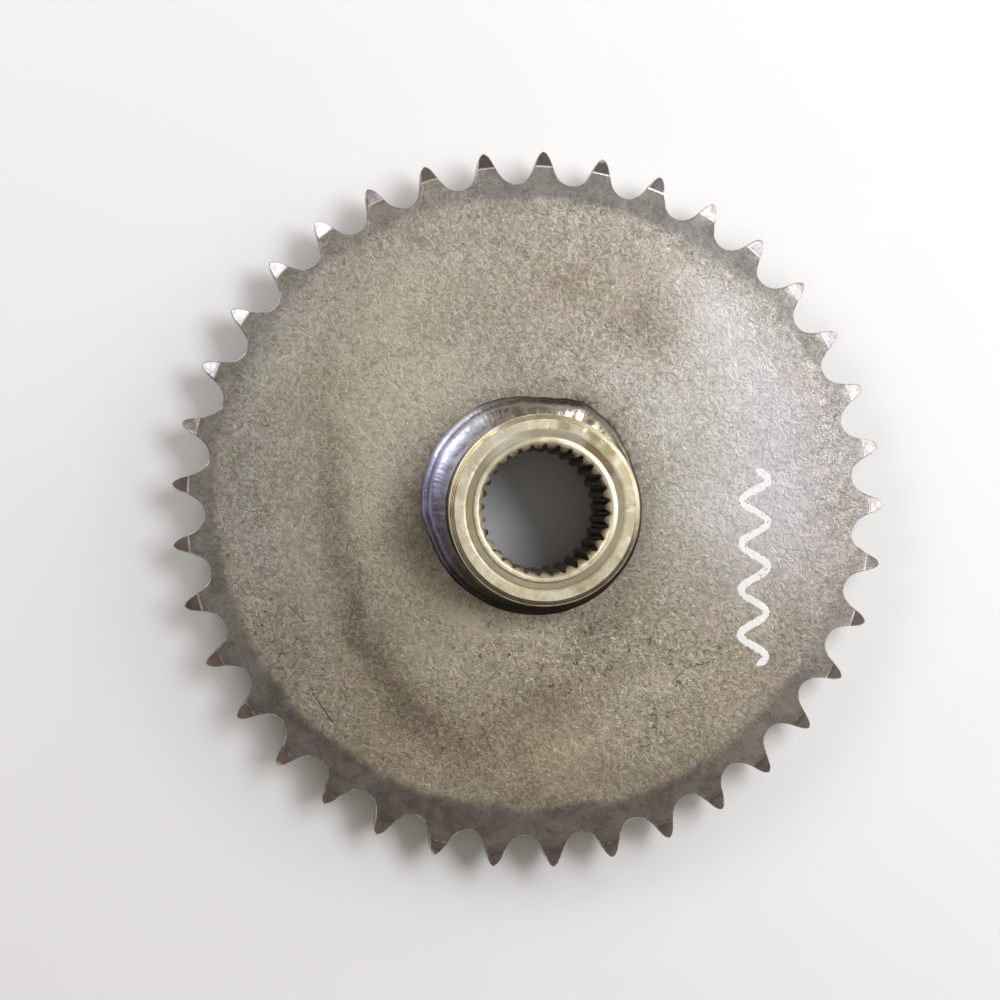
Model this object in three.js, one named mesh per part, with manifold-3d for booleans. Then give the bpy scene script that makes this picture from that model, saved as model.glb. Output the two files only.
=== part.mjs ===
// Single-strand roller-chain drive sprocket: a 37-tooth flame-cut plate for 31.75 mm
// (1 1/4 in) pitch chain, fillet-welded on both faces to an internally splined hub.
// Millimetres, +Z up. The part lies flat with its long hub end upwards: the origin is on
// the hub axis at the rear end face of the hub, which is the face it rests on.
import * as THREE from "three";
import { mergeVertices } from "three/addons/utils/BufferGeometryUtils.js";
import Module from "manifold-3d";

// ---------------------------------------------------------------- driving dimensions
// Chain and teeth (ANSI B29.1, number 100 chain)
const PITCH = 31.75; // chain pitch
const ROLLER = 19.05; // roller diameter
const TEETH = 37;
const TOOTH_PHASE = 0.84; // degrees from +X to the centre line of the first tooth
const PLATE_T = 17.5; // plate thickness
const CHAMFER_R = 187.2; // radius at which the turned tooth chamfers begin
const CHAMFER_DROP = 4.4; // how far each chamfer has dropped at the tip circle

// Levels along the axis
const REAR_STANDOUT = 12; // hub behind the plate
const FRONT_STANDOUT = 50; // hub in front of the plate
const Z_REAR = REAR_STANDOUT; // rear face of the plate
const Z_FRONT = Z_REAR + PLATE_T; // front face of the plate
const Z_TOP = Z_FRONT + FRONT_STANDOUT; // front end face of the hub

// Hub
const HUB_R = 48.8; // barrel radius, through the plate and up to the head
const HEAD_R = 50.3; // turned head at the front end, a little larger than the barrel
const HEAD_H = 15; // from the front face down to the relief under the head
const LAND_IN_R = 42.4; // step between the recessed ring and the outer land
const LAND_OUT_R = 47.3; // outer land, then a steep chamfer to the side of the head
const TOP_CHAMFER_DROP = 3.6;
const RECESS_DROP = 0.7; // the ring inside the outer land is this much lower
const LIP_OUT_R = 37.7; // raised lip around the mouth of the bore
const LIP_IN_R = 35.2;
const LIP_DROP = 0.25;
const REAR_CHAMFER = 1.5;
const COUNTERBORE_R = 36.5; // plain clearance bore from the rear end
const COUNTERBORE_Z = 17.5; // and how far it reaches

// Spline (ANSI B92.1, 12/24 pitch, 30 degrees, 31 teeth)
const SPLINE_TEETH = 31;
const SPLINE_DP = 12;
const SPLINE_PHASE = 2.9; // degrees from +X to the centre of the first internal tooth
const SPLINE_MINOR_R = 31.75;
const SPLINE_MAJOR_R = 34.5;

// Welds
const GAP = 0.3; // clearance kept between touching pieces
const FRONT_TOE_R = 60.8; // toe of the front fillet on the plate, on average
// The hand-laid front fillet is wider on one side: toe radius by angle from +X, degrees.
const FRONT_TOE = [
  [0, 59.2], [20, 59.0], [35, 60.5], [45, 62.3], [55, 63.3], [65, 64.4], [72, 63.2],
  [80, 61.5], [90, 61.2], [100, 62.3], [110, 63.4], [120, 64.0], [147, 64.0], [160, 63.2],
  [180, 61.9], [190, 60.2], [197, 58.9], [220, 58.0], [240, 57.3], [265, 57.2],
  [290, 57.9], [315, 58.7], [340, 59.3], [360, 59.2],
];
const FRONT_LEG_Z = 10; // front fillet, up the hub
const PASS_SPLIT_R = 57.6; // where the two front passes meet at the surface
const PASS_SPLIT_Z = 3.4;
const REAR_LEG = 8;

const HUB_SEGMENTS = 93; // three to each spline tooth
const PLATE_SEGMENTS = 185; // five to each tooth
const WELD_SEGMENTS = 72;

// ---------------------------------------------------------------- helpers
const rad = (d) => (d * Math.PI) / 180;
const wasm = await Module();
wasm.setup();

// A closed three.js geometry as a solid, and back.
function solid(geometry) {
  const g = geometry.clone();
  g.deleteAttribute("normal");
  g.deleteAttribute("uv");
  const merged = mergeVertices(g, 1e-4);
  return new wasm.Manifold(
    new wasm.Mesh({
      numProp: 3,
      vertProperties: new Float32Array(merged.attributes.position.array),
      triVerts: new Uint32Array(merged.index.array),
    }),
  );
}
function geometryOf(manifold) {
  const m = manifold.getMesh();
  const n = m.numProp;
  const xyz = new Float32Array(m.numVert * 3);
  for (let i = 0; i < m.numVert; i++)
    xyz.set(m.vertProperties.subarray(i * n, i * n + 3), i * 3);
  const g = new THREE.BufferGeometry();
  g.setAttribute("position", new THREE.BufferAttribute(xyz, 3));
  g.setIndex(new THREE.BufferAttribute(new Uint32Array(m.triVerts), 1));
  g.computeVertexNormals();
  return g;
}

// A body of revolution about Z from a closed loop of [radius, z], given counter-clockwise
// with radius to the right and z upwards.
function turned(loop, segments, phase = 0) {
  const pts = [...loop, loop[0]].map(([r, z]) => new THREE.Vector2(r, z));
  const g = new THREE.LatheGeometry(pts, segments, phase, Math.PI * 2);
  g.rotateX(Math.PI / 2); // lathe axis Y becomes Z
  return g;
}

// A straight prism from a closed outline, between two heights.
function prism(outline, z0, z1, hole) {
  const shape = new THREE.Shape(outline.map(([x, y]) => new THREE.Vector2(x, y)));
  if (hole)
    shape.holes.push(new THREE.Path(hole.map(([x, y]) => new THREE.Vector2(x, y))));
  const g = new THREE.ExtrudeGeometry(shape, {
    depth: z1 - z0,
    bevelEnabled: false,
    curveSegments: 1,
  });
  g.translate(0, 0, z0);
  return g;
}

const polar = (r, a) => [r * Math.cos(a), r * Math.sin(a)];

// ---------------------------------------------------------------- tooth form
// Half of one tooth space, in the frame of its roller: x along the tangent, y outwards.
// Seating arc, working arc, short straight flank, then the topping arc up to the tip circle.
const PITCH_R = PITCH / (2 * Math.sin(Math.PI / TEETH));
const TIP_R = (PITCH * (0.6 + 1 / Math.tan(Math.PI / TEETH))) / 2;

function halfSpace() {
  const A = rad(35 + 60 / TEETH);
  const B = rad(18 - 56 / TEETH);
  const G = rad(17 - 64 / TEETH);
  const R = 0.5025 * ROLLER + 0.0381;
  const E = 1.3025 * ROLLER + 0.0381;
  const F = ROLLER * (0.8 * Math.cos(B) + 1.4 * Math.cos(G) - 1.3025) - 0.0381;
  const out = [];
  const seat = [-90, -74, -57, -(35 + 60 / TEETH)];
  for (const d of seat) out.push([R * Math.cos(rad(d)), R * Math.sin(rad(d))]);
  const c = [-0.8 * ROLLER * Math.cos(A), 0.8 * ROLLER * Math.sin(A)];
  for (const t of [0.5, 1]) {
    const a = -A + B * t;
    out.push([c[0] + E * Math.cos(a), c[1] + E * Math.sin(a)]);
  }
  const a = A - B;
  const yz = ROLLER * (1.4 * Math.sin(G) - 0.8 * Math.sin(B));
  const y = out[out.length - 1];
  const z = [y[0] + yz * Math.sin(a), y[1] + yz * Math.cos(a)];
  const b = [
    1.4 * ROLLER * Math.cos(Math.PI / TEETH),
    -1.4 * ROLLER * Math.sin(Math.PI / TEETH),
  ];
  // Topping arc about b, from z to the tip circle.
  const start = Math.atan2(z[1] - b[1], z[0] - b[0]);
  const at = (s) => [b[0] + F * Math.cos(s), b[1] + F * Math.sin(s)];
  const radiusAt = (s) => Math.hypot(at(s)[0], at(s)[1] + PITCH_R);
  let lo = start,
    hi = start - rad(70);
  for (let i = 0; i < 60; i++) {
    const mid = (lo + hi) / 2;
    if (radiusAt(mid) < TIP_R) lo = mid;
    else hi = mid;
  }
  out.push(z);
  for (const t of [0.33, 0.67, 1]) out.push(at(start + (lo - start) * t));
  return out;
}

function toothOutline() {
  const half = halfSpace();
  const loop = [];
  for (let k = 0; k < TEETH; k++) {
    const centre = rad(TOOTH_PHASE) + ((k + 0.5) * 2 * Math.PI) / TEETH;
    // from the tooth on the clockwise side, down into the seat, and up the other side
    const place = ([x, y], side) => {
      const r = Math.hypot(x, y + PITCH_R);
      const off = Math.atan2(x, y + PITCH_R);
      return polar(r, centre + side * off);
    };
    for (let i = half.length - 1; i >= 0; i--) loop.push(place(half[i], -1));
    for (let i = 1; i < half.length; i++) loop.push(place(half[i], 1));
  }
  return loop;
}

// ---------------------------------------------------------------- sprocket plate
function plateGeometry() {
  const outline = toothOutline();
  const bore = [];
  for (let i = 0; i < HUB_SEGMENTS; i++)
    bore.push(polar(HUB_R + GAP, -(i * 2 * Math.PI) / HUB_SEGMENTS));
  const blank = solid(prism(outline, Z_REAR, Z_FRONT, bore));
  // Both faces of every tooth are turned off at a shallow angle from the pitch circle out.
  const slope = CHAMFER_DROP / (TIP_R - CHAMFER_R);
  const far = TIP_R + 6;
  const drop = slope * (far - CHAMFER_R);
  const envelope = solid(
    turned(
      [
        [20, Z_REAR - 1],
        [CHAMFER_R - 1 / slope, Z_REAR - 1],
        [far, Z_REAR + drop],
        [far, Z_FRONT - drop],
        [CHAMFER_R - 1 / slope, Z_FRONT + 1],
        [20, Z_FRONT + 1],
      ],
      PLATE_SEGMENTS,
    ),
  );
  return geometryOf(blank.intersect(envelope));
}

// ---------------------------------------------------------------- splined hub
// Gap between two internal teeth: flat root, two involute flanks, at the minor radius
// the tooth land. Angles are measured from the centre of the gap.
function splineOutline() {
  const pitchR = (25.4 * SPLINE_TEETH) / SPLINE_DP / 2;
  const baseR = pitchR * Math.cos(rad(30));
  const inv = (a) => Math.tan(a) - a;
  const halfAt = (r) => {
    // half the space width as an angle; spaces widen towards the bore on internal teeth
    const a = Math.acos(Math.min(1, baseR / r));
    return Math.PI / 2 / SPLINE_TEETH - inv(a) + inv(rad(30));
  };
  const loop = [];
  const flank = [SPLINE_MINOR_R, (SPLINE_MINOR_R + pitchR) / 2, pitchR, 33.6, SPLINE_MAJOR_R - 0.15];
  for (let k = 0; k < SPLINE_TEETH; k++) {
    const centre = rad(SPLINE_PHASE) + ((k + 0.5) * 2 * Math.PI) / SPLINE_TEETH;
    for (const r of flank) loop.push(polar(r, centre - halfAt(r)));
    loop.push(polar(SPLINE_MAJOR_R, centre));
    for (const r of [...flank].reverse()) loop.push(polar(r, centre + halfAt(r)));
  }
  return loop;
}

function hubGeometry() {
  const phase = rad(SPLINE_PHASE);
  const body = solid(
    turned(
      [
        [20, 0],
        [HUB_R - REAR_CHAMFER, 0],
        [HUB_R, REAR_CHAMFER],
        [HUB_R, Z_TOP - HEAD_H - (HEAD_R - HUB_R)],
        [HEAD_R, Z_TOP - HEAD_H],
        [HEAD_R, Z_TOP - TOP_CHAMFER_DROP],
        [LAND_OUT_R, Z_TOP],
        [LAND_IN_R, Z_TOP],
        [LAND_IN_R - 0.3, Z_TOP - RECESS_DROP],
        [LIP_OUT_R + 0.3, Z_TOP - RECESS_DROP],
        [LIP_OUT_R, Z_TOP - LIP_DROP],
        [20, Z_TOP - LIP_DROP],
      ],
      HUB_SEGMENTS,
      phase,
    ),
  );
  // The broached bore runs right through; the mouth chamfer and the rear counterbore
  // are turned after it.
  const broach = solid(prism(splineOutline(), -2, Z_TOP + 2));
  // A 45 degree mouth chamfer also cuts the front ends of the spline teeth.
  const leadDrop = LIP_IN_R - (SPLINE_MINOR_R - 1);
  const tools = solid(
    turned(
      [
        [0, -2],
        [COUNTERBORE_R + 1.2 + 2, -2],
        [COUNTERBORE_R, 1.2],
        [COUNTERBORE_R, COUNTERBORE_Z],
        [SPLINE_MINOR_R - 1, COUNTERBORE_Z + 3.2],
        [SPLINE_MINOR_R - 1, Z_TOP - LIP_DROP - leadDrop],
        [LIP_IN_R, Z_TOP - LIP_DROP],
        [LIP_IN_R + 0.01, Z_TOP + 2],
        [0, Z_TOP + 2],
      ],
      HUB_SEGMENTS,
      phase,
    ),
  );
  return geometryOf(body.subtract(broach).subtract(tools));
}

// ---------------------------------------------------------------- weld beads
// Front fillet, first pass: lies in the corner and out to the toe on the plate.
const frontFirst = [
  [HUB_R + GAP, Z_FRONT + GAP],
  [FRONT_TOE_R, Z_FRONT + GAP],
  [FRONT_TOE_R - 0.5, Z_FRONT + 1.3],
  [FRONT_TOE_R - 1.6, Z_FRONT + 2.6],
  [PASS_SPLIT_R + 0.5, Z_FRONT + PASS_SPLIT_Z - 0.2],
  [PASS_SPLIT_R - 0.3, Z_FRONT + PASS_SPLIT_Z - 0.5],
  [HUB_R + GAP, Z_FRONT + PASS_SPLIT_Z - 0.5],
];
// Front fillet, second pass: the wide, smooth cap laid over the first, up to the hub.
const frontSecond = [
  [HUB_R + GAP, Z_FRONT + PASS_SPLIT_Z - 0.5 + GAP],
  [PASS_SPLIT_R - 0.3, Z_FRONT + PASS_SPLIT_Z - 0.5 + GAP],
  [PASS_SPLIT_R, Z_FRONT + PASS_SPLIT_Z + 0.6],
  [PASS_SPLIT_R - 1.6, Z_FRONT + PASS_SPLIT_Z + 2.2],
  [PASS_SPLIT_R - 4.2, Z_FRONT + PASS_SPLIT_Z + 4.2],
  [HUB_R + 1.6, Z_FRONT + FRONT_LEG_Z - 0.8],
  [HUB_R + GAP, Z_FRONT + FRONT_LEG_Z],
];
// The front fillet's width follows its toe; both passes widen and narrow together.
function toeAt(degrees) {
  const d = ((degrees % 360) + 360) % 360;
  const i = FRONT_TOE.findIndex(([a], n) => n > 0 && d <= a);
  const [a0, r0] = FRONT_TOE[i - 1];
  const [a1, r1] = FRONT_TOE[i];
  const t = (d - a0) / (a1 - a0);
  return r0 + (r1 - r0) * t * t * (3 - 2 * t);
}
function frontBead(loop) {
  const g = turned(loop, WELD_SEGMENTS);
  const at = g.attributes.position;
  for (let i = 0; i < at.count; i++) {
    const r = Math.hypot(at.getX(i), at.getY(i));
    // Vertices on the lathe's seam share one angle, so both sides get one width.
    const degrees = Math.round((Math.atan2(at.getY(i), at.getX(i)) * 180) / Math.PI * 100) / 100;
    const wide = (toeAt(degrees) - HUB_R - GAP) / (FRONT_TOE_R - HUB_R - GAP);
    const to = HUB_R + GAP + (r - HUB_R - GAP) * wide;
    at.setX(i, (at.getX(i) * to) / r);
    at.setY(i, (at.getY(i) * to) / r);
  }
  return g;
}
// Rear fillet: one pass.
const rearFillet = [
  [HUB_R + GAP, Z_REAR - GAP],
  [HUB_R + GAP, Z_REAR - REAR_LEG],
  [HUB_R + 2.0, Z_REAR - REAR_LEG + 1.2],
  [HUB_R + 4.7, Z_REAR - REAR_LEG + 3.3],
  [HUB_R + 6.8, Z_REAR - 2.0],
  [HUB_R + REAR_LEG, Z_REAR - GAP],
];

// ---------------------------------------------------------------- the assembly
const scaled = (hex, roughness, metalness) =>
  new THREE.MeshStandardMaterial({ color: hex, roughness, metalness });

const pieces = [
  ["sprocket_plate", plateGeometry(), scaled(0x8f887b, 0.72, 0.6)],
  ["splined_hub", hubGeometry(), scaled(0xc9bfa4, 0.38, 0.9)],
  ["front_weld_first_pass", frontBead(frontFirst), scaled(0x5f5d66, 0.45, 0.8)],
  ["front_weld_second_pass", frontBead(frontSecond), scaled(0x6f6c7c, 0.4, 0.8)],
  ["rear_weld_bead", turned(rearFillet, WELD_SEGMENTS), scaled(0x5a5860, 0.5, 0.8)],
];

const sprocket = new THREE.Group();
for (const [name, geometry, material] of pieces) {
  const mesh = new THREE.Mesh(geometry, material);
  mesh.name = name;
  sprocket.add(mesh);
}

export default sprocket;
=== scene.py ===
"""Roller-chain drive sprocket: the finished look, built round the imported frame.

Every length here is in metres, in the frame's own axes: the origin is on the hub axis in
the rear end face of the hub, +Z towards the long hub end.
"""

import math

import bmesh
import bpy
import numpy as np
from mathutils import Matrix, Vector


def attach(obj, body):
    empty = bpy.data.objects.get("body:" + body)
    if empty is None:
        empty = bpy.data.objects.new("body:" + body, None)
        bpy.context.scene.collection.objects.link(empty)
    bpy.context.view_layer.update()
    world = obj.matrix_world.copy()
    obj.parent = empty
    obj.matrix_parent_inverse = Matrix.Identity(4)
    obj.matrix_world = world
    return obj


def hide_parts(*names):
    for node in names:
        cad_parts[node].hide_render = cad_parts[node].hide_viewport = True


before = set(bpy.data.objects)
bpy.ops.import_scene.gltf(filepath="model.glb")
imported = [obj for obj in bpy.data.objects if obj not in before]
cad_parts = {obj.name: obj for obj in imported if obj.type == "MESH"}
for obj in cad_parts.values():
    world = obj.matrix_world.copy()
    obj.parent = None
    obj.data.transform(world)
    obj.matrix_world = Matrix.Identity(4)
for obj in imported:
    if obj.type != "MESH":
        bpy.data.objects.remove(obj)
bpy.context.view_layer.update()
MM = 0.001
ROOT = "root"

# ------------------------------------------------------------------ driving dimensions, mm
PITCH, ROLLER, TEETH, TOOTH_PHASE = 31.75, 19.05, 37, 0.84
Z_REAR, Z_FRONT, Z_TOP = 12.0, 29.5, 79.5
CHAMFER_R, CHAMFER_DROP = 187.2, 4.4
HUB_R, HEAD_R, HEAD_H = 48.8, 50.3, 15.0
GAP = 0.3
WORN = 0.5  # half width of the rubbed line where the tooth chamfer starts
PITCH_R = PITCH / (2 * math.sin(math.pi / TEETH))
TIP_R = (PITCH * (0.6 + 1 / math.tan(math.pi / TEETH))) / 2
SLOPE = CHAMFER_DROP / (TIP_R - CHAMFER_R)

FRONT_TOE_R, PASS_SPLIT_R, PASS_SPLIT_Z, FRONT_LEG_Z = 60.8, 57.6, 3.4, 10.0
FRONT_TOE = np.array([
    (0, 59.2), (20, 59.0), (35, 60.5), (45, 62.3), (55, 63.3), (65, 64.4), (72, 63.2),
    (80, 61.5), (90, 61.2), (100, 62.3), (110, 63.4), (120, 64.0), (147, 64.0), (160, 63.2),
    (180, 61.9), (190, 60.2), (197, 58.9), (220, 58.0), (240, 57.3), (265, 57.2),
    (290, 57.9), (315, 58.7), (340, 59.3), (360, 59.2)], float)
REAR_LEG = 8.0


# ------------------------------------------------------------------ numbers
def smooth(t):
    t = np.clip(t, 0, 1)
    return t * t * (3 - 2 * t)


def step(x, a, b):
    return smooth((np.asarray(x, float) - a) / (b - a))


def bump(x, centre, half):
    return smooth(1 - np.abs(np.asarray(x, float) - centre) / half)


def turn(a, b):
    """The signed difference between two angles in degrees."""
    return (np.asarray(a, float) - b + 180.0) % 360.0 - 180.0


def _hash(ix, iy, iz, seed):
    h = (ix * 374761393 + iy * 668265263 + iz * 2147483647 + seed * 974634777) & 0xFFFFFFFF
    h = ((h ^ (h >> 13)) * 1274126177) & 0xFFFFFFFF
    h = ((h ^ (h >> 16)) * 2246822519) & 0xFFFFFFFF
    return ((h ^ (h >> 15)) & 0xFFFFFF) / float(0xFFFFFF) * 2 - 1


def noise(x, y, z=0.0, seed=0):
    """Smooth value noise in -1..1 on a unit lattice."""
    x, y, z = np.broadcast_arrays(
        np.asarray(x, float), np.asarray(y, float), np.asarray(z, float))
    fx, fy, fz = np.floor(x), np.floor(y), np.floor(z)
    ix, iy, iz = fx.astype(np.int64), fy.astype(np.int64), fz.astype(np.int64)
    u, v, w = smooth(x - fx), smooth(y - fy), smooth(z - fz)
    out = 0
    for dx in (0, 1):
        for dy in (0, 1):
            for dz in (0, 1):
                k = (u if dx else 1 - u) * (v if dy else 1 - v) * (w if dz else 1 - w)
                out = out + k * _hash(ix + dx, iy + dy, iz + dz, seed)
    return out


def fractal(x, y, z=0.0, seed=0, octaves=3, fall=0.5):
    out, amp, total = 0, 1.0, 0.0
    for i in range(octaves):
        out = out + amp * noise(x * 2**i, y * 2**i, np.asarray(z) * 2**i, seed + 17 * i)
        total += amp
        amp *= fall
    return out / total


# ------------------------------------------------------------------ meshes
class Soup:
    """Vertices, faces and a material number for each face."""

    def __init__(self):
        self.v, self.f, self.m, self.n, self.extra = [], [], [], 0, {}

    def add(self, pts, **extra):
        pts = np.asarray(pts, float).reshape(-1, 3)
        first = self.n
        self.v.append(pts)
        self.n += len(pts)
        for k, val in extra.items():
            self.extra.setdefault(k, []).append(
                (first, np.broadcast_to(np.asarray(val, float), (len(pts),)).copy()))
        return np.arange(first, self.n)

    def face(self, ids, mat):
        clean = []
        for i in ids:
            if i not in clean:
                clean.append(int(i))
        if len(clean) > 2:
            self.f.append(clean)
            self.m.append(mat)

    def strip(self, a, b, mat, closed=True, flip=False):
        """Quads between two rows of the same length. a below/inside, b above/outside."""
        n = len(a)
        for j in range(n if closed else n - 1):
            k = (j + 1) % n
            q = [a[j], a[k], b[k], b[j]]
            self.face(q[::-1] if flip else q, mat)

    def build(self, name, sharp_deg, materials):
        v = np.concatenate(self.v) * MM
        me = bpy.data.meshes.new(name)
        me.from_pydata(v.tolist(), [], self.f)
        for mat in materials:
            me.materials.append(mat)
        me.polygons.foreach_set("material_index", np.array(self.m, np.int32))
        me.polygons.foreach_set("use_smooth", np.ones(len(self.f), bool))
        for k, blocks in self.extra.items():
            val = np.zeros(self.n, np.float32)
            for first, arr in blocks:
                val[first:first + len(arr)] = arr
            at = me.attributes.new(k, "FLOAT", "POINT")
            at.data.foreach_set("value", val)
        me.validate()
        bm = bmesh.new()
        bm.from_mesh(me)
        bmesh.ops.recalc_face_normals(bm, faces=bm.faces)
        if bm.calc_volume(signed=True) < 0:
            bmesh.ops.reverse_faces(bm, faces=bm.faces)
        bm.to_mesh(me)
        bm.free()
        me.update()
        me.set_sharp_from_angle(angle=math.radians(sharp_deg))
        ob = bpy.data.objects.new(name, me)
        bpy.context.scene.collection.objects.link(ob)
        return ob


def rounded(profile, radii):
    """An open profile of (r, z) with each inner corner rounded. radii: {index: (radius, steps)}."""
    out = []
    for i, p in enumerate(profile):
        if i not in radii or i == 0 or i == len(profile) - 1:
            out.append(tuple(p))
            continue
        rad, steps = radii[i]
        p = np.array(p, float)
        a, b = np.array(profile[i - 1], float) - p, np.array(profile[i + 1], float) - p
        la, lb = np.linalg.norm(a), np.linalg.norm(b)
        a, b = a / la, b / lb
        half = math.acos(max(-1, min(1, float(a @ b)))) / 2
        cut = min(rad / math.tan(half), 0.49 * la, 0.49 * lb)
        rr = cut * math.tan(half)
        c = p + (a + b) / np.linalg.norm(a + b) * (rr / math.sin(half))
        s, e = p + a * cut - c, p + b * cut - c
        a0 = math.atan2(s[1], s[0])
        d = (math.atan2(e[1], e[0]) - a0 + math.pi) % (2 * math.pi) - math.pi
        for k in range(steps + 1):
            t = a0 + d * k / steps
            out.append((c[0] + rr * math.cos(t), c[1] + rr * math.sin(t)))
    return out


def finer(profile, most):
    """Adds points so that no step is longer than most."""
    out = [tuple(profile[0])]
    for p, q in zip(profile[:-1], profile[1:]):
        d = math.hypot(q[0] - p[0], q[1] - p[1])
        n = max(1, int(math.ceil(d / most)))
        for k in range(1, n + 1):
            out.append((p[0] + (q[0] - p[0]) * k / n, p[1] + (q[1] - p[1]) * k / n))
    return out


# ------------------------------------------------------------------ shader helpers
class Graph:
    def __init__(self, name):
        self.mat = bpy.data.materials.new(name)
        self.mat.use_nodes = True
        self.nt = self.mat.node_tree
        self.nt.nodes.clear()
        self.out = self.nt.nodes.new("ShaderNodeOutputMaterial")
        self.bsdf = self.nt.nodes.new("ShaderNodeBsdfPrincipled")
        self.nt.links.new(self.bsdf.outputs[0], self.out.inputs[0])
        self.p = self.nt.nodes.new("ShaderNodeTexCoord").outputs["Object"]
        xyz = self.node("ShaderNodeSeparateXYZ", {0: self.p})
        self.x, self.y, self.z = xyz.outputs
        flat = self.node("ShaderNodeCombineXYZ", {0: self.x, 1: self.y}).outputs[0]
        self.flat = flat
        self.r = self.vector("LENGTH", flat)

    def node(self, kind, inputs=None, **settings):
        n = self.nt.nodes.new(kind)
        for k, v in settings.items():
            setattr(n, k, v)
        for k, v in (inputs or {}).items():
            if isinstance(v, bpy.types.NodeSocket):
                self.nt.links.new(v, n.inputs[k])
            else:
                n.inputs[k].default_value = v
        return n

    def math(self, op, a, b=0.0, c=None, clamp=False):
        ins = {0: a, 1: b}
        if c is not None:
            ins[2] = c
        return self.node("ShaderNodeMath", ins, operation=op, use_clamp=clamp).outputs[0]

    def vector(self, op, a, b=None):
        ins = {0: a}
        if b is not None:
            ins[1] = b
        n = self.node("ShaderNodeVectorMath", ins, operation=op)
        return n.outputs["Value"] if op in ("LENGTH", "DISTANCE", "DOT_PRODUCT") else n.outputs[0]

    def ramp(self, value, low, high, to_low=0.0, to_high=1.0, kind="SMOOTHSTEP"):
        return self.node(
            "ShaderNodeMapRange", {"Value": value, 1: low, 2: high, 3: to_low, 4: to_high},
            interpolation_type=kind, clamp=True).outputs[0] if kind != "LINEAR" else self.node(
            "ShaderNodeMapRange", {"Value": value, 1: low, 2: high, 3: to_low, 4: to_high},
            interpolation_type="LINEAR", clamp=True).outputs[0]

    def noise(self, scale, detail=2.0, rough=0.5, distort=0.0, vector=None, dims="3D", w=None):
        ins = {"Scale": scale, "Detail": detail, "Roughness": rough, "Distortion": distort}
        if dims == "1D":
            ins["W"] = w
        else:
            ins["Vector"] = vector or self.p
        return self.node("ShaderNodeTexNoise", ins, noise_dimensions=dims).outputs[0]

    def mix(self, fac, a, b, blend="MIX"):
        n = self.node("ShaderNodeMix", data_type="RGBA", blend_type=blend)
        n.clamp_factor = True
        for idx, v in ((0, fac), (6, a), (7, b)):
            if isinstance(v, bpy.types.NodeSocket):
                self.nt.links.new(v, n.inputs[idx])
            else:
                n.inputs[idx].default_value = v if idx == 0 else (*v, 1.0)[:4]
        return n.outputs[2]

    def attr(self, name):
        return self.node("ShaderNodeAttribute", attribute_name=name).outputs["Fac"]

    def scaled(self, sx, sy, sz):
        return self.node("ShaderNodeMapping", {"Vector": self.p, "Scale": (sx, sy, sz)}).outputs[0]

    def spot(self, x, y, z, radius, soft, warp=None):
        """1 inside a ball of that radius about a point in mm, 0 outside it."""
        d = self.vector("DISTANCE", self.p, (x * MM, y * MM, z * MM))
        if warp is not None:
            d = self.math("ADD", d, warp)
        return self.ramp(d, (radius - soft) * MM, (radius + soft) * MM, 1.0, 0.0)

    def line(self, x0, y0, x1, y1, wide, warp):
        """1 on a straight scratch between two points in mm, 0 beside it."""
        ex, ey = (x1 - x0) * MM, (y1 - y0) * MM
        rel = self.vector("SUBTRACT", self.flat, (x0 * MM, y0 * MM, 0.0))
        along = self.vector("DOT_PRODUCT", rel, (ex / (ex * ex + ey * ey), ey / (ex * ex + ey * ey), 0.0))
        along = self.math("MAXIMUM", self.math("MINIMUM", along, 1.0), 0.0)
        foot = self.node("ShaderNodeVectorMath", {0: (ex, ey, 0.0), 3: along}, operation="SCALE").outputs[0]
        off = self.math("ADD", self.vector("DISTANCE", rel, foot), warp)
        return self.ramp(off, wide * 0.25 * MM, wide * 0.75 * MM, 1.0, 0.0)

    def set(self, **inputs):
        for k, v in inputs.items():
            k = k.replace("_", " ")
            sock = self.bsdf.inputs[k]
            if isinstance(v, bpy.types.NodeSocket):
                self.nt.links.new(v, sock)
            else:
                sock.default_value = v

    def bumps(self, *pairs):
        """Chains bump nodes: (height socket, strength, distance in mm)."""
        last = None
        for height, strength, dist in pairs:
            ins = {"Height": height, "Strength": strength, "Distance": dist * MM}
            if last is not None:
                ins["Normal"] = last
            last = self.node("ShaderNodeBump", ins).outputs[0]
        self.set(Normal=last)


def rgb(r, g, b):
    """sRGB 0..255 to linear."""
    return tuple((c / 255 / 12.92) if c / 255 <= 0.04045 else ((c / 255 + 0.055) / 1.055) ** 2.4 for c in (r, g, b))


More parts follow.
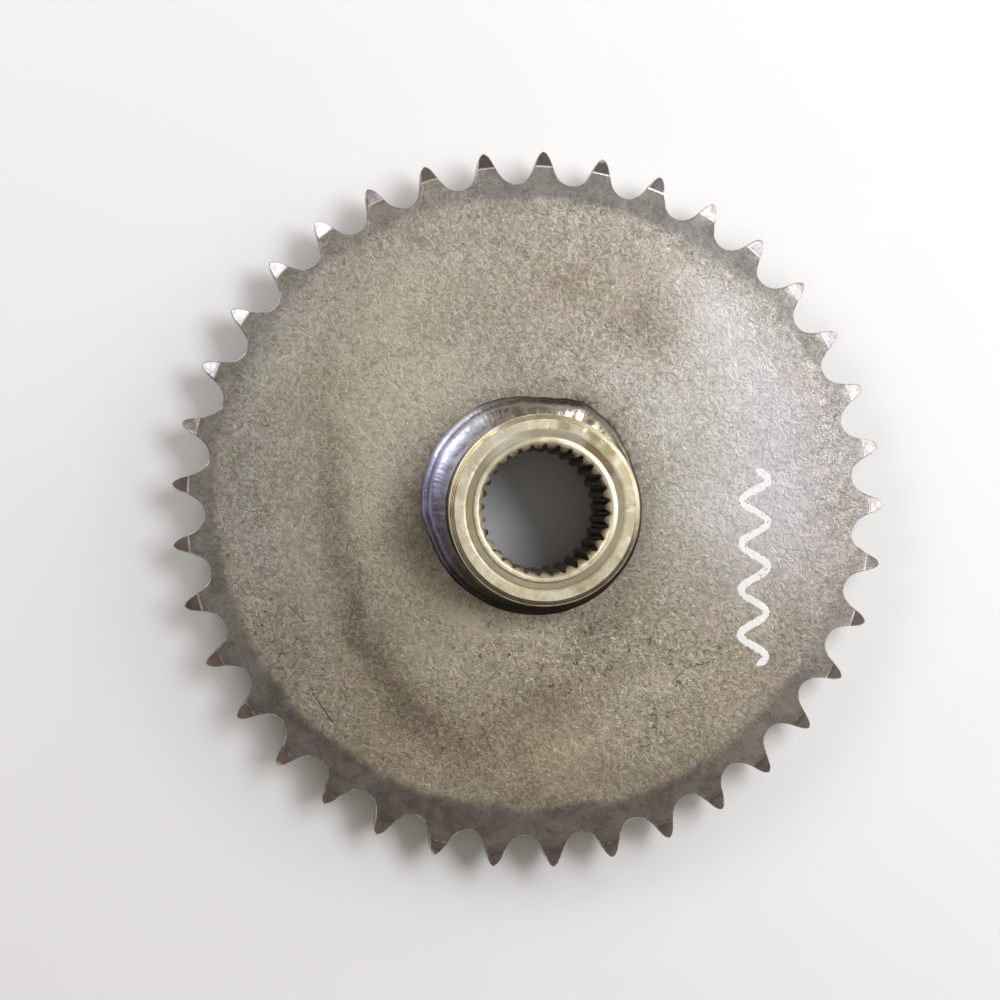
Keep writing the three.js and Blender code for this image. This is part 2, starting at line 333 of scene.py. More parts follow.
# ------------------------------------------------------------------ tooth form (half a space)
def half_space():
    """Points of half a tooth space as (angle off the space's centre, radius), then the land."""
    A = math.radians(35 + 60 / TEETH)
    B = math.radians(18 - 56 / TEETH)
    G = math.radians(17 - 64 / TEETH)
    R = 0.5025 * ROLLER + 0.0381
    E = 1.3025 * ROLLER + 0.0381
    F = ROLLER * (0.8 * math.cos(B) + 1.4 * math.cos(G) - 1.3025) - 0.0381
    pts = []
    for t in np.linspace(-90, -(35 + 60 / TEETH), 24):
        pts.append((R * math.cos(math.radians(t)), R * math.sin(math.radians(t))))
    c = (-0.8 * ROLLER * math.cos(A), 0.8 * ROLLER * math.sin(A))
    for t in np.linspace(0, 1, 12)[1:]:
        a = -A + B * t
        pts.append((c[0] + E * math.cos(a), c[1] + E * math.sin(a)))
    a = A - B
    yz = ROLLER * (1.4 * math.sin(G) - 0.8 * math.sin(B))
    y0 = pts[-1]
    z0 = (y0[0] + yz * math.sin(a), y0[1] + yz * math.cos(a))
    b = (1.4 * ROLLER * math.cos(math.pi / TEETH), -1.4 * ROLLER * math.sin(math.pi / TEETH))
    start = math.atan2(z0[1] - b[1], z0[0] - b[0])
    at = lambda s: (b[0] + F * math.cos(s), b[1] + F * math.sin(s))
    lo, hi = start, start - math.radians(70)
    for _ in range(60):
        mid = (lo + hi) / 2
        if math.hypot(at(mid)[0], at(mid)[1] + PITCH_R) < TIP_R:
            lo = mid
        else:
            hi = mid
    for t in np.linspace(0, 1, 30):
        pts.append(at(start + (lo - start) * t))
    pol = [(math.atan2(x, y + PITCH_R), math.hypot(x, y + PITCH_R)) for x, y in pts]
    half = math.pi / TEETH
    # The small land on the tip, with its corner worn round.
    last = pol[-1][0]
    for t in np.linspace(0, 1, 6)[1:]:
        pol.append((last + (half - last) * t, TIP_R))
    pol = np.array(pol)
    s = np.clip((half - pol[:, 0]) * TIP_R / 1.5, 0, 1)
    worn = np.where(pol[:, 1] > TIP_R - 2.2, 0.42 * s**2 * ((pol[:, 1] - (TIP_R - 2.2)) / 2.2), 0)
    pol[:, 1] -= worn
    # the flanks near the tip have rubbed against the side plates of the chain
    gap = np.maximum((half - pol[:, 0]) * pol[:, 1], 1e-6)
    rub = np.minimum(0.42 * smooth((pol[:, 1] - 182.0) / 12.0) / gap, 0.45)
    pol[:, 0] = half - (half - pol[:, 0]) * (1 - rub)
    return pol


def tooth_columns():
    """Columns of one full tooth space, from tooth tip to tooth tip: offset angle and outline radius."""
    pol = half_space()
    xy = np.stack([pol[:, 1] * np.sin(pol[:, 0]), pol[:, 1] * np.cos(pol[:, 0])], 1)
    s = np.r_[0, np.cumsum(np.hypot(*np.diff(xy, axis=0).T))]
    cross = [float(np.interp(lv, pol[24:, 1], s[24:])) for lv in (CHAMFER_R - WORN, CHAMFER_R + WORN)]
    marks = list(np.linspace(0, cross[0], 9)) + [cross[1]] + list(np.linspace(cross[1], s[-1], 6))[1:]
    off = np.interp(marks, s, pol[:, 0])
    rad = np.interp(marks, s, pol[:, 1])
    return off, rad


COL_OFF, COL_R = tooth_columns()
HALF_COLS = len(COL_OFF) - 1


def outline():
    """Angle and radius of every column round the plate, counter-clockwise."""
    ang, rad = [], []
    for k in range(TEETH):
        c = math.radians(TOOTH_PHASE) + (k + 0.5) * 2 * math.pi / TEETH
        for i in range(HALF_COLS, 0, -1):
            ang.append(c - COL_OFF[i])
            rad.append(COL_R[i])
        for i in range(0, HALF_COLS):
            ang.append(c + COL_OFF[i])
            rad.append(COL_R[i])
    return np.array(ang), np.array(rad)


ANG, OUT_R = outline()
COLS = len(ANG)


# ------------------------------------------------------------------ the scale on the plate
def by_angle(table, deg):
    """A smooth value by angle from a closed table of (degrees, value)."""
    t = np.array(table, float)
    d = np.mod(deg, 360.0)
    i = np.clip(np.searchsorted(t[:, 0], d), 1, len(t) - 1)
    a0, a1 = t[i - 1, 0], t[i, 0]
    k = smooth((d - a0) / (a1 - a0))
    if t.shape[1] > 2:
        k = k[..., None]
        return t[i - 1, 1:] + (t[i, 1:] - t[i - 1, 1:]) * k
    return t[i - 1, 1] + (t[i, 1] - t[i - 1, 1]) * k


BAND_EDGE = [(0, 178), (30, 173), (60, 169.5), (90, 168.5), (110, 172), (150, 176), (180, 173), (196, 171),
             (210, 168), (240, 165.2), (270, 164), (300, 165.8), (320, 168.4), (338, 171), (352, 176), (360, 178)]
BAND_DEPTH = [(0, .12), (30, .42), (60, .85), (90, .85), (110, .50), (150, .45), (180, .65), (200, .85), (215, .95), (240, 1.0),
              (270, 1.0), (300, .95), (320, .85), (340, .50), (360, .12)]


def rim_share(x, y):
    """1 on the smooth hardened band round the rim, 0 inside it."""
    r = np.hypot(x, y)
    a = np.degrees(np.arctan2(y, x))
    edge = by_angle(BAND_EDGE, a) + 1.6 * noise(np.cos(np.radians(a)) * 7, np.sin(np.radians(a)) * 7, 0, 5) \
        + 1.3 * noise(x / 6, y / 6, 0, 6)
    return step(r, edge - 3.2, edge + 3.2)


def blob(x, y, angle, radius, across, along):
    """A soft patch: its place in polar form, its half sizes along the radius and round it, in mm."""
    a = math.radians(angle)
    dx, dy = x - radius * math.cos(a), y - radius * math.sin(a)
    u = dx * math.cos(a) + dy * math.sin(a)
    v = -dx * math.sin(a) + dy * math.cos(a)
    return np.exp(-((u / across) ** 2 + (v / along) ** 2))


def dark_stain_and_shade(x, y):
    """Brown oil and scale: one long swirl through the lower left and some loose patches; the patch at 193 degrees, 77
    mm, just left of the hub, is painted shade.
    """
    wx = x + 3.4 * fractal(x / 24, y / 24, 0, 331, 2)
    wy = y + 3.4 * fractal(x / 24, y / 24, 0, 337, 2)
    r = np.hypot(wx, wy)
    a = np.mod(np.degrees(np.arctan2(wy, wx)), 360.0)
    line = by_angle([(0, 150), (136, 150), (150, 131), (163, 115), (180, 110), (195, 108), (218, 117), (239, 129), (258, 134), (285, 138), (360, 150)], a)
    depth = by_angle([(0, 0), (132, 0), (150, .30), (163, .46), (180, .58), (195, .66), (218, .88), (234, .95), (250, .70), (264, .26), (282, 0), (360, 0)], a)
    wide = by_angle([(0, 8), (160, 8), (200, 9), (225, 10.5), (245, 12), (270, 14), (360, 8)], a)
    out = depth * np.exp(-((r - line) / wide) ** 2)
    for angle, radius, across, along, k in (
            (82, 125, 11, 15, .42), (60, 119, 14, 15, .28), (-86, 102, 12, 16, .42), (-36, 68, 10, 14, .50),
            (193, 77, 9, 16, .34), (-60, 104, 9, 22, .20), (60, 165, 6, 26, .22), (60, 114, 13, 26, .22), (-58, 74, 10, 18, .18),
            (60, 130, 12, 18, .16), (60, 67, 4.5, 17, .55), (300, 69, 8, 12, .42), (44, 170, 7, 40, .22), (268, 108, 9, 16, .28), (209, 146, 9, 22, .34),
            (212, 160, 7, 26, .25), (240, 161, 6, 28, .22), (268, 161, 7, 30, .50), (298, 161, 8, 30, .40),
            (330, 160, 10, 32, .32), (92, 160, 9, 30, .12), (276, 59.5, 3, 14, .60), (303, 61, 3, 12, .20),
            (284, 154, 9, 14, .30), (232, 150, 8, 16, .14), (252, 150, 8, 12, .16)):
        out = out + k * blob(wx, wy, angle, radius, across, along)
    return np.clip(out, 0, 1)


def rough_patch(x, y):
    """Where the rolled skin is crumpled most."""
    wx = x + 6 * fractal(x / 25, y / 25, 0, 371, 2)
    wy = y + 6 * fractal(x / 25, y / 25, 0, 377, 2)
    out = 0.30 + 0.25 * fractal(x / 30, y / 30, 0, 381, 2)
    for angle, radius, across, along, k in (
            (-85, 78, 26, 44, .65), (250, 125, 20, 30, .30), (-50, 120, 26, 40, .40), (48, 167, 8, 44, .85),
            (10, 168, 8, 50, .60), (216, 150, 12, 40, .35), (60, 95, 26, 34, .25), (215, 75, 16, 30, .40)):
        out = out + k * blob(wx, wy, angle, radius, across, along)
    return np.clip(out, 0, 1)


def pale_scale(x, y):
    """Where the scale is lighter, broadly so towards the upper right."""
    wx = x + 6 * fractal(x / 25, y / 25, 0, 351, 2)
    wy = y + 6 * fractal(x / 25, y / 25, 0, 357, 2)
    out = 0
    for angle, radius, across, along, k in (
            (30, 136, 34, 56, .50), (-3, 128, 34, 44, .50), (190, 130, 16, 50, .15), (4, 92, 22, 26, .30), (34, 88, 18, 22, .32),
            (60, 86, 12, 14, .25), (300, 118, 16, 26, .12), (49, 150, 18, 26, .30)):
        out = out + k * blob(wx, wy, angle, radius, across, along)
    return np.clip(out, 0, 1)


def sandy_scale_and_light(x, y):
    """Where the scale is lighter and yellower; the patches beside the hub at 240 and 268 degrees are painted light
    where the hub's shadow falls.
    """
    wx = x + 6 * fractal(x / 25, y / 25, 0, 391, 2)
    wy = y + 6 * fractal(x / 25, y / 25, 0, 397, 2)
    out = 0
    for angle, radius, across, along, k in (
            (148, 104, 34, 40, .46), (122, 138, 26, 46, .34), (124, 84, 20, 26, .30), (178, 88, 12, 26, .45),
            (212, 80, 14, 24, .50), (240, 70, 9, 18, .75), (268, 68, 9, 16, .62), (240, 94, 12, 22, .30),
            (278, 132, 9, 18, .35), (148, 158, 12, 34, .30), (303, 112, 12, 20, .22), (330, 70, 8, 12, .25)):
        out = out + k * blob(wx, wy, angle, radius, across, along)
    return np.clip(out, 0, 1)


def hue_patch(x, y, seed, spots):
    """A soft share of 0..1 from a few stains."""
    wx = x + 7 * fractal(x / 24, y / 24, 0, seed, 2)
    wy = y + 7 * fractal(x / 24, y / 24, 0, seed + 6, 2)
    out = 0
    for angle, radius, across, along, k in spots:
        out = out + k * blob(wx, wy, angle, radius, across, along)
    return np.clip(out, 0, 1)


RUSTY = [(268, 128, 16, 40, .80), (285, 100, 16, 26, .40), (79, 127, 14, 28, .50), (62, 118, 14, 22, .40),
         (240, 152, 12, 26, .40), (100, 122, 18, 30, .25), (318, 140, 12, 26, .25)]
MOSSY = [(-45, 86, 14, 20, .90), (178, 100, 16, 36, .50), (205, 92, 16, 30, .60), (150, 112, 20, 36, .50),
         (125, 120, 16, 26, .50), (172, 140, 14, 30, .30), (10, 70, 8, 14, .40)]
BLUISH = [(168, 158, 14, 60, .75), (200, 150, 14, 44, .55), (218, 158, 12, 30, .45), (132, 160, 12, 40, .50),
          (150, 172, 9, 60, .60)]


def scale_height(x, y, seed=0):
    """How far the rough scale stands above or below the flat face, mm."""
    worm = fractal(x / 2.6, y / 2.6, 0, 31 + seed, 2, 0.6)
    lump = fractal(x / 9.0, y / 9.0, 0, 57 + seed, 2, 0.5)
    wave = fractal(x / 60.0, y / 60.0, 0, 71 + seed, 2, 0.5)
    rim = rim_share(x, y)
    return (0.060 * worm + 0.045 * lump) * (1 - 0.8 * rim) + 0.10 * wave - 0.10 * rim


def front_height(x, y):
    r = np.hypot(x, y)
    h = scale_height(x, y)
    return Z_FRONT + h * step(r, 58.0, 64.0)


# x, y, x, y in mm, width in mm and how dark: what was dragged across the face
SCRATCHES = [
    (-120.0, -99.5, -109.5, -115.0, 1.0, 0.62),
    (-133.4, -52.0, -124.5, -60.5, 1.1, 0.45),
    (-105.5, -96.4, -101.9, -102.7, 1.0, 0.55),
    (76.0, -95.0, 83.8, -86.8, 0.9, 0.40),
    (61.9, 103.5, 62.6, 92.5, 1.0, 0.35),
    (-29.0, -118.0, -24.0, -130.0, 0.9, 0.40),
]


def face_z(r):
    """Depth of the turned tooth chamfer below the face."""
    return SLOPE * np.clip(r - CHAMFER_R, 0, None)


def plate_mesh(materials):
    s = Soup()
    n = COLS
    ca, sa = np.cos(ANG), np.sin(ANG)
    ox, oy = OUT_R * ca, OUT_R * sa
    # In-plane inward normal of the outline.
    tx, ty = np.roll(ox, -1) - np.roll(ox, 1), np.roll(oy, -1) - np.roll(oy, 1)
    tl = np.hypot(tx, ty)
    nx, ny = -ty / tl, tx / tl
    inset = 0.38 + 0.12 * noise(ox / 2.5, oy / 2.5, 0, 3)
    ix, iy = ox + nx * inset, oy + ny * inset
    ir = np.hypot(ix, iy)
    tooth_id = np.floor(((np.degrees(ANG) - TOOTH_PHASE) / 360 * TEETH + 0.5)) % TEETH
    for side in (1, -1):
        front = side == 1
        base = Z_FRONT if front else Z_REAR

        def skin(x, y, front):
            a = np.degrees(np.arctan2(y, x))
            k = 1.0 if front else 0.0
            return {"rim": rim_share(x, y) * by_angle(BAND_DEPTH, a if front else 360 - a),
                    "dark": k * dark_stain_and_shade(x, y), "pale": k * pale_scale(x, y),
                    "sandy_and_light": k * sandy_scale_and_light(x, y), "rusty": k * hue_patch(x, y, 401, RUSTY),
                    "mossy": k * hue_patch(x, y, 421, MOSSY), "bluish": k * hue_patch(x, y, 441, BLUISH), "rough": rough_patch(x, y)}

        def level(x, y):
            if front:
                return front_height(x, y)
            r = np.hypot(x, y)
            return Z_REAR - scale_height(x, y, 400) * step(r, 58.0, 62.0)

        rows = []
        # inner disc: half the columns
        half_ids = np.arange(0, n, 2)
        bore_r = HUB_R + GAP
        r_in = np.concatenate([[bore_r, bore_r + 0.4], np.linspace(52.5, 110.0, 31 if front else 22)])
        r_out = np.linspace(110.0, 171.5, 33 if front else 22)[1:]
        uni = ANG[half_ids]
        for r in r_in:
            x, y = r * np.cos(uni), r * np.sin(uni)
            z = level(x, y)
            if r == bore_r:
                z = np.full_like(x, base - side * 0.4)
            rows.append(("half", s.add(np.stack([x, y, z], 1), **skin(x, y, front))))
        for r in r_out:
            if front:
                x, y = r * ca, r * sa
                rows.append(("full", s.add(np.stack([x, y, level(x, y)], 1), **skin(x, y, front))))
            else:
                x, y = r * np.cos(uni), r * np.sin(uni)
                rows.append(("half", s.add(np.stack([x, y, level(x, y)], 1), **skin(x, y, front))))
        # tooth zone: from the 171.5 circle out to the inset outline, with a worn line at the chamfer
        a_end = np.minimum(ir, CHAMFER_R - WORN)
        k_end = np.where(ir > CHAMFER_R - WORN, (CHAMFER_R - WORN) / ir, 1.0)
        ax, ay = ix * k_end, iy * k_end
        sx0, sy0 = 171.5 * ca, 171.5 * sa
        fade = smooth((ir - 171.5) / 4.0)
        for t in (0.25, 0.5, 0.75, 1.0) if front else (0.5, 1.0):
            x, y = sx0 + (ax - sx0) * t, sy0 + (ay - sy0) * t
            z = level(x, y)
            if t == 1.0:
                z = np.where(ir > CHAMFER_R - WORN, z, base + (z - base) * 0.5)
            rows.append(("full", s.add(np.stack([x, y, z], 1), **skin(x, y, front))))
        a_last = len(rows) - 1
        b_end = np.minimum(ir, CHAMFER_R + WORN)
        bk = b_end / ir
        bx, by = ix * bk, iy * bk
        low = ir <= CHAMFER_R - WORN + 1e-6
        zz = base - side * (SLOPE * WORN)
        over = level(bx, by) - base
        zb = np.where(low, s.v[-1][:, 2], base + over * 0.6 - side * face_z(b_end) * 1.0)
        b_ids = s.add(np.stack([bx, by, zb], 1), **skin(bx, by, front))
        b_ids[low] = rows[a_last][1][low]
        rows.append(("full", b_ids))
        b_last = len(rows) - 1
        c_rows = []
        low2 = ir <= CHAMFER_R + WORN + 1e-6
        for t in (0.33, 0.67, 1.0):
            x, y = bx + (ix - bx) * t, by + (iy - by) * t
            r = np.hypot(x, y)
            dent = 0.035 * noise(x / 3.1, y / 3.1, side, 91)
            z = base + (over * 0.6) * (1 - t) - side * (face_z(r) + dent)
            ids = s.add(np.stack([x, y, z], 1), **skin(x, y, front))
            ids[low2] = b_ids[low2]
            rows.append(("full", ids))
        # faces
        for i in range(len(rows) - 1):
            (ka, a), (kb, b) = rows[i], rows[i + 1]
            mat = 0
            if i == a_last:
                mat = 1
            elif i >= b_last:
                mat = 2
            if i == 0:
                mat = 3
            if ka == kb:
                m = len(a)
                for j in range(m):
                    k = (j + 1) % m
                    q = [a[j], b[j], b[k], a[k]]
                    if len(set(int(v) for v in q)) < 3:
                        continue
                    s.face(q if front else q[::-1], mat)
            else:
                m = len(a)
                for j in range(m):
                    k = (j + 1) % m
                    b0, b1, b2 = b[2 * j], b[2 * j + 1], b[(2 * j + 2) % n]
                    for q in ([a[j], b0, b1], [a[j], b1, a[k]], [a[k], b1, b2]):
                        s.face(q if front else q[::-1], mat)
        if front:
            front_bore, front_edge = rows[0][1], rows[-1][1]
        else:
            rear_bore, rear_edge = rows[0][1], rows[-1][1]
    # side walls of the teeth: worn bevel, wall, worn bevel
    zf = Z_FRONT - face_z(OUT_R)
    zr = Z_REAR + face_z(OUT_R)
    bev = 0.34 + 0.1 * noise(ox / 2.2, oy / 2.2, 4, 8)
    wall = []
    for t in np.linspace(0, 1, 6):
        z = (zf - bev) + ((zr + bev) - (zf - bev)) * t
        # the chain's rollers have polished a shallow track into the middle of each seat
        track = 0.10 * bump(z, (Z_FRONT + Z_REAR) / 2, 5.5) * bump(OUT_R, 178.5, 5.0)
        x, y = ox + nx * track, oy + ny * track
        wall.append(s.add(np.stack([x, y, z], 1), rim=1.0))
    loops = [front_edge] + wall + [rear_edge]
    for i in range(len(loops) - 1):
        a, b = loops[i], loops[i + 1]
        mat = 5 if i in (0, len(loops) - 2) else 4
        for j in range(n):
            k = (j + 1) % n
            s.face([a[j], b[j], b[k], a[k]], mat)
    m = len(front_bore)
    for j in range(m):
        k = (j + 1) % m
        s.face([front_bore[j], front_bore[k], rear_bore[k], rear_bore[j]], 3)
    return s.build("sprocket_plate_body", 28, materials)


# ------------------------------------------------------------------ splined hub
SPLINE_TEETH, SPLINE_DP, SPLINE_PHASE = 31, 12, 2.9
MINOR_R, MAJOR_R = 31.75, 34.5
LIP_R, LIP_Z = 35.2, Z_TOP - 0.25


def spline_columns():
    """Angle and bore radius of every column round the bore."""
    pitch_r = 25.4 * SPLINE_TEETH / SPLINE_DP / 2
    base_r = pitch_r * math.cos(math.radians(30))
    inv = lambda a: math.tan(a) - a

    def half_at(r):
        a = math.acos(min(1.0, base_r / r))
        return math.pi / 2 / SPLINE_TEETH - inv(a) + inv(math.radians(30))

    # from the middle of a gap to the middle of the next tooth
    pts = [(0.0, MAJOR_R)]
    root = half_at(MAJOR_R - 0.3)
    pts += [(root * 0.45, MAJOR_R), (root * 0.8, MAJOR_R - 0.05), (root, MAJOR_R - 0.3)]
    for r in (33.9, 33.2, 32.5, MINOR_R + 0.16):
        pts.append((half_at(r), r))
    edge = half_at(MINOR_R + 0.16)
    pts.append((edge + 0.14 / MINOR_R, MINOR_R))
    tip = math.pi / SPLINE_TEETH
    pts.append((tip, MINOR_R - 0.0))
    ang, rad = [], []
    for k in range(SPLINE_TEETH):
        c = math.radians(SPLINE_PHASE) + (k + 0.5) * 2 * math.pi / SPLINE_TEETH
        for a, r in pts[:0:-1]:
            ang.append(c - a)
            rad.append(r)
        for a, r in pts[:-1]:
            ang.append(c + a)
            rad.append(r)
    return np.array(ang), np.array(rad)


def hub_mesh(materials):
    s = Soup()
    ang, bore = spline_columns()
    n = len(ang)
    ca, sa = np.cos(ang), np.sin(ang)
    deg = np.degrees(ang)
    # Outer profile from the rear bore mouth round the outside to the front lip.
    land_in, land_out = 42.4, 47.3
    grooves = []
    zc, rc = Z_TOP, land_out
    steps = 8
    for k in range(steps + 1):  # steep chamfer with the coarse feed marks of the turning tool
        t = k / steps
        r = land_out + (HEAD_R - land_out) * t
        z = Z_TOP - 3.6 * t
        if 0 < k < steps:
            d = 0.24 if k % 2 == 0 else 0.0
            r, z = r - d * 0.77, z - d * 0.64
        grooves.append((r, z))
    prof = [(36.5, 1.2), (37.7, 0.0), (HUB_R - 1.5, 0.0), (HUB_R, 1.5), (HUB_R, Z_REAR - 6),
            (HUB_R, Z_FRONT + 6), (HUB_R, Z_TOP - HEAD_H - 1.5), (HEAD_R, Z_TOP - HEAD_H)]
    radii = {1: (0.3, 2), 2: (0.4, 3), 3: (0.5, 3), 6: (0.8, 3), 7: (0.35, 3)}
    lower = rounded(prof + [grooves[-1]], radii)[:-1]
    upper = [(land_out, Z_TOP), (land_in + 0.3, Z_TOP), (land_in - 0.8, Z_TOP - 0.28),
             (38.2, Z_TOP - 0.50), (37.35, LIP_Z), (LIP_R + 0.25, LIP_Z), (LIP_R, LIP_Z - 0.2)]
    upper = rounded([grooves[0]] + upper[1:], {1: (0.2, 3), 2: (0.9, 4), 3: (1.0, 4), 4: (0.15, 2), 5: (0.12, 2)})
    side = finer([(HEAD_R, Z_TOP - HEAD_H + 0.2), (HEAD_R, grooves[-1][1])], 1.5)[1:-1]
    prof = lower + side + grooves[::-1][:-1] + finer(upper, 1.3)
    prof = np.array(prof)
    arc = np.r_[0, np.cumsum(np.hypot(*np.diff(prof, axis=0).T))]
    rows = []
    for (r, z), a in zip(prof, arc):
        x, y = r * ca, r * sa
        rr = np.full(n, r)
        zz = np.full(n, z)
        # fine ridges left on the side of the head, and small dings on the corners
        if Z_TOP - HEAD_H < z < Z_TOP - 3.6:
            rr = rr - 0.03 - 0.03 * math.sin(z * 4.1)
        groove = any(abs(r - g0) < 0.02 and abs(z - g1) < 0.02 for g0, g1 in grooves[2:-1:2])
        if z > Z_TOP - 4.2 and r > 41.5:
            ding = np.zeros(n)
            for a0, w, d, rd in DINGS:
                ding += d * smooth(1 - np.abs(turn(deg, a0)) / w) * max(0.0, 1 - abs(r - rd) / 1.6)
            zz = zz - ding
        # the turned grooves hold dirt all round; painted shade makes them darkest on the left and along the bottom
        groove_dark = 0.0
        if groove:
            groove_dark = 0.45 + 0.55 * by_angle([(0, .1), (60, .1), (120, .2), (165, .7), (185, 1), (330, 1), (360, .1)], deg)
        rows.append((s.add(np.stack([rr * ca, rr * sa, zz], 1), arc=a, dirt=groove_dark), r, z))
    # Mouth: a 45 degree lead that also cuts the front ends of the teeth.
    mouth = []
    for t in (0.25, 0.55, 1.0):
        r = LIP_R + (bore - LIP_R) * t
        z = LIP_Z - 0.2 - (LIP_R - r)
        mouth.append(s.add(np.stack([r * ca, r * sa, z], 1), arc=arc[-1] + 3 * t))
    # a small worn corner at the end of each tooth
    rim_r = bore + 0.0
    z = LIP_Z - 0.2 - (LIP_R - rim_r) - 0.22
    mouth.append(s.add(np.stack([rim_r * ca, rim_r * sa, z], 1), arc=arc[-1] + 3.3))
    # the bore runs straight down, the teeth worn a little hollow on their flanks
    back_z = 17.5 + (36.5 - bore)
    for t in (0.12, 0.3, 0.5, 0.7, 0.88, 1.0):
        zt = (Z_TOP - 5) + (back_z - (Z_TOP - 5)) * t
        worn = 0.05 * np.sin(np.pi * t) * bump(bore, 33.0, 1.0)
        rr = bore + worn
        mouth.append(s.add(np.stack([rr * ca, rr * sa, zt], 1), arc=arc[-1] + 3.3 + 60 * t))
    for r, zt in ((35.6, 18.4), (36.4, 17.6), (36.5, 17.2), (36.5, 12.0), (36.5, 6.0)):
        rr = np.maximum(bore, r) if r < 36 else np.full(n, r)
        mouth.append(s.add(np.stack([rr * ca, rr * sa, np.full(n, zt)], 1), arc=arc[-1] + 80 - zt))
    first = rows[0][0]
    for i in range(len(rows) - 1):
        a, r0, z0 = rows[i]
        b, r1, z1 = rows[i + 1]
        zm, rm = (z0 + z1) / 2, (r0 + r1) / 2
        mat = 0
        if zm < Z_TOP - HEAD_H:
            mat = 1
        s.strip(a, b, mat)
    s.strip(rows[-1][0], mouth[0], 0)
    for i in range(len(mouth) - 1):
        s.strip(mouth[i], mouth[i + 1], 2)
    s.strip(mouth[-1], first, 2)
    return s.build("splined_hub_body", 24, materials)


# angle, half width in degrees, depth mm, radius mm of the small dings on the front end
DINGS = [
    (118.0, 2.2, 0.20, 47.3), (63.0, 1.8, 0.22, 47.3), (201.0, 1.6, 0.18, 47.4), (342.0, 1.5, 0.15, 47.3),
    (88.0, 1.2, 0.15, 42.4), (152.0, 1.4, 0.16, 42.5), (12.0, 1.3, 0.14, 50.2), (268.0, 1.6, 0.16, 50.0),
]


# ------------------------------------------------------------------ weld beads
def toe_at(deg):
    d = np.mod(deg, 360.0)
    i = np.clip(np.searchsorted(FRONT_TOE[:, 0], d), 1, len(FRONT_TOE) - 1)
    a0, r0 = FRONT_TOE[i - 1].T
    a1, r1 = FRONT_TOE[i].T
    return r0 + (r1 - r0) * smooth((d - a0) / (a1 - a0))


def arc_points(pts, count):
    """count points evenly along a smooth curve through pts."""
    p = np.array(pts, float)
    t = np.r_[0, np.cumsum(np.hypot(*np.diff(p, axis=0).T))]
    # Catmull-Rom through the points
    out = []
    for q in np.linspace(0, t[-1], count):
        i = int(np.clip(np.searchsorted(t, q) - 1, 0, len(p) - 2))
        u = (q - t[i]) / (t[i + 1] - t[i])
        p0 = p[max(i - 1, 0)]
        p1, p2 = p[i], p[i + 1]
        p3 = p[min(i + 2, len(p) - 1)]
        m1, m2 = (p2 - p0) / 2, (p3 - p1) / 2
        h = (2 * u**3 - 3 * u**2 + 1) * p1 + (u**3 - 2 * u**2 + u) * m1 + (-2 * u**3 + 3 * u**2) * p2 + (u**3 - u**2) * m2
        out.append(h)
    return np.array(out)


# sRGB colour of the front passes by angle: heat tint, silver where the arc was stopped, slate and lilac on the wide
# side with a painted highlight from about 125 to 185 degrees, and painted shade, nearly black, along the underside
HEAT_AND_LIGHT = [(0, 96, 88, 75), (38, 112, 105, 92), (50, 158, 152, 138), (64, 206, 199, 184), (76, 188, 180, 162),
        (92, 172, 163, 146), (112, 176, 171, 164), (128, 186, 186, 194), (148, 194, 196, 218), (166, 160, 162, 186),
        (182, 154, 156, 182), (200, 126, 126, 138), (218, 92, 88, 80), (245, 50, 46, 38), (280, 54, 48, 36), (300, 86, 78, 62),
        (325, 88, 80, 64), (360, 96, 88, 75)]
TOE_HEAT_AND_LIGHT = [(0, 108, 98, 84), (38, 104, 98, 88), (55, 92, 87, 80), (70, 84, 79, 72), (90, 104, 98, 88), (106, 140, 136, 128),
            (128, 184, 184, 192), (148, 192, 194, 216), (166, 160, 162, 188), (182, 158, 160, 186), (200, 120, 119, 130),
            (222, 74, 70, 67), (245, 50, 46, 38), (285, 54, 48, 38), (325, 84, 76, 62), (360, 108, 98, 84)]
REAR_HEAT = [(0, 112, 108, 118), (90, 124, 118, 112), (180, 100, 98, 112), (270, 120, 110, 98), (360, 112, 108, 118)]


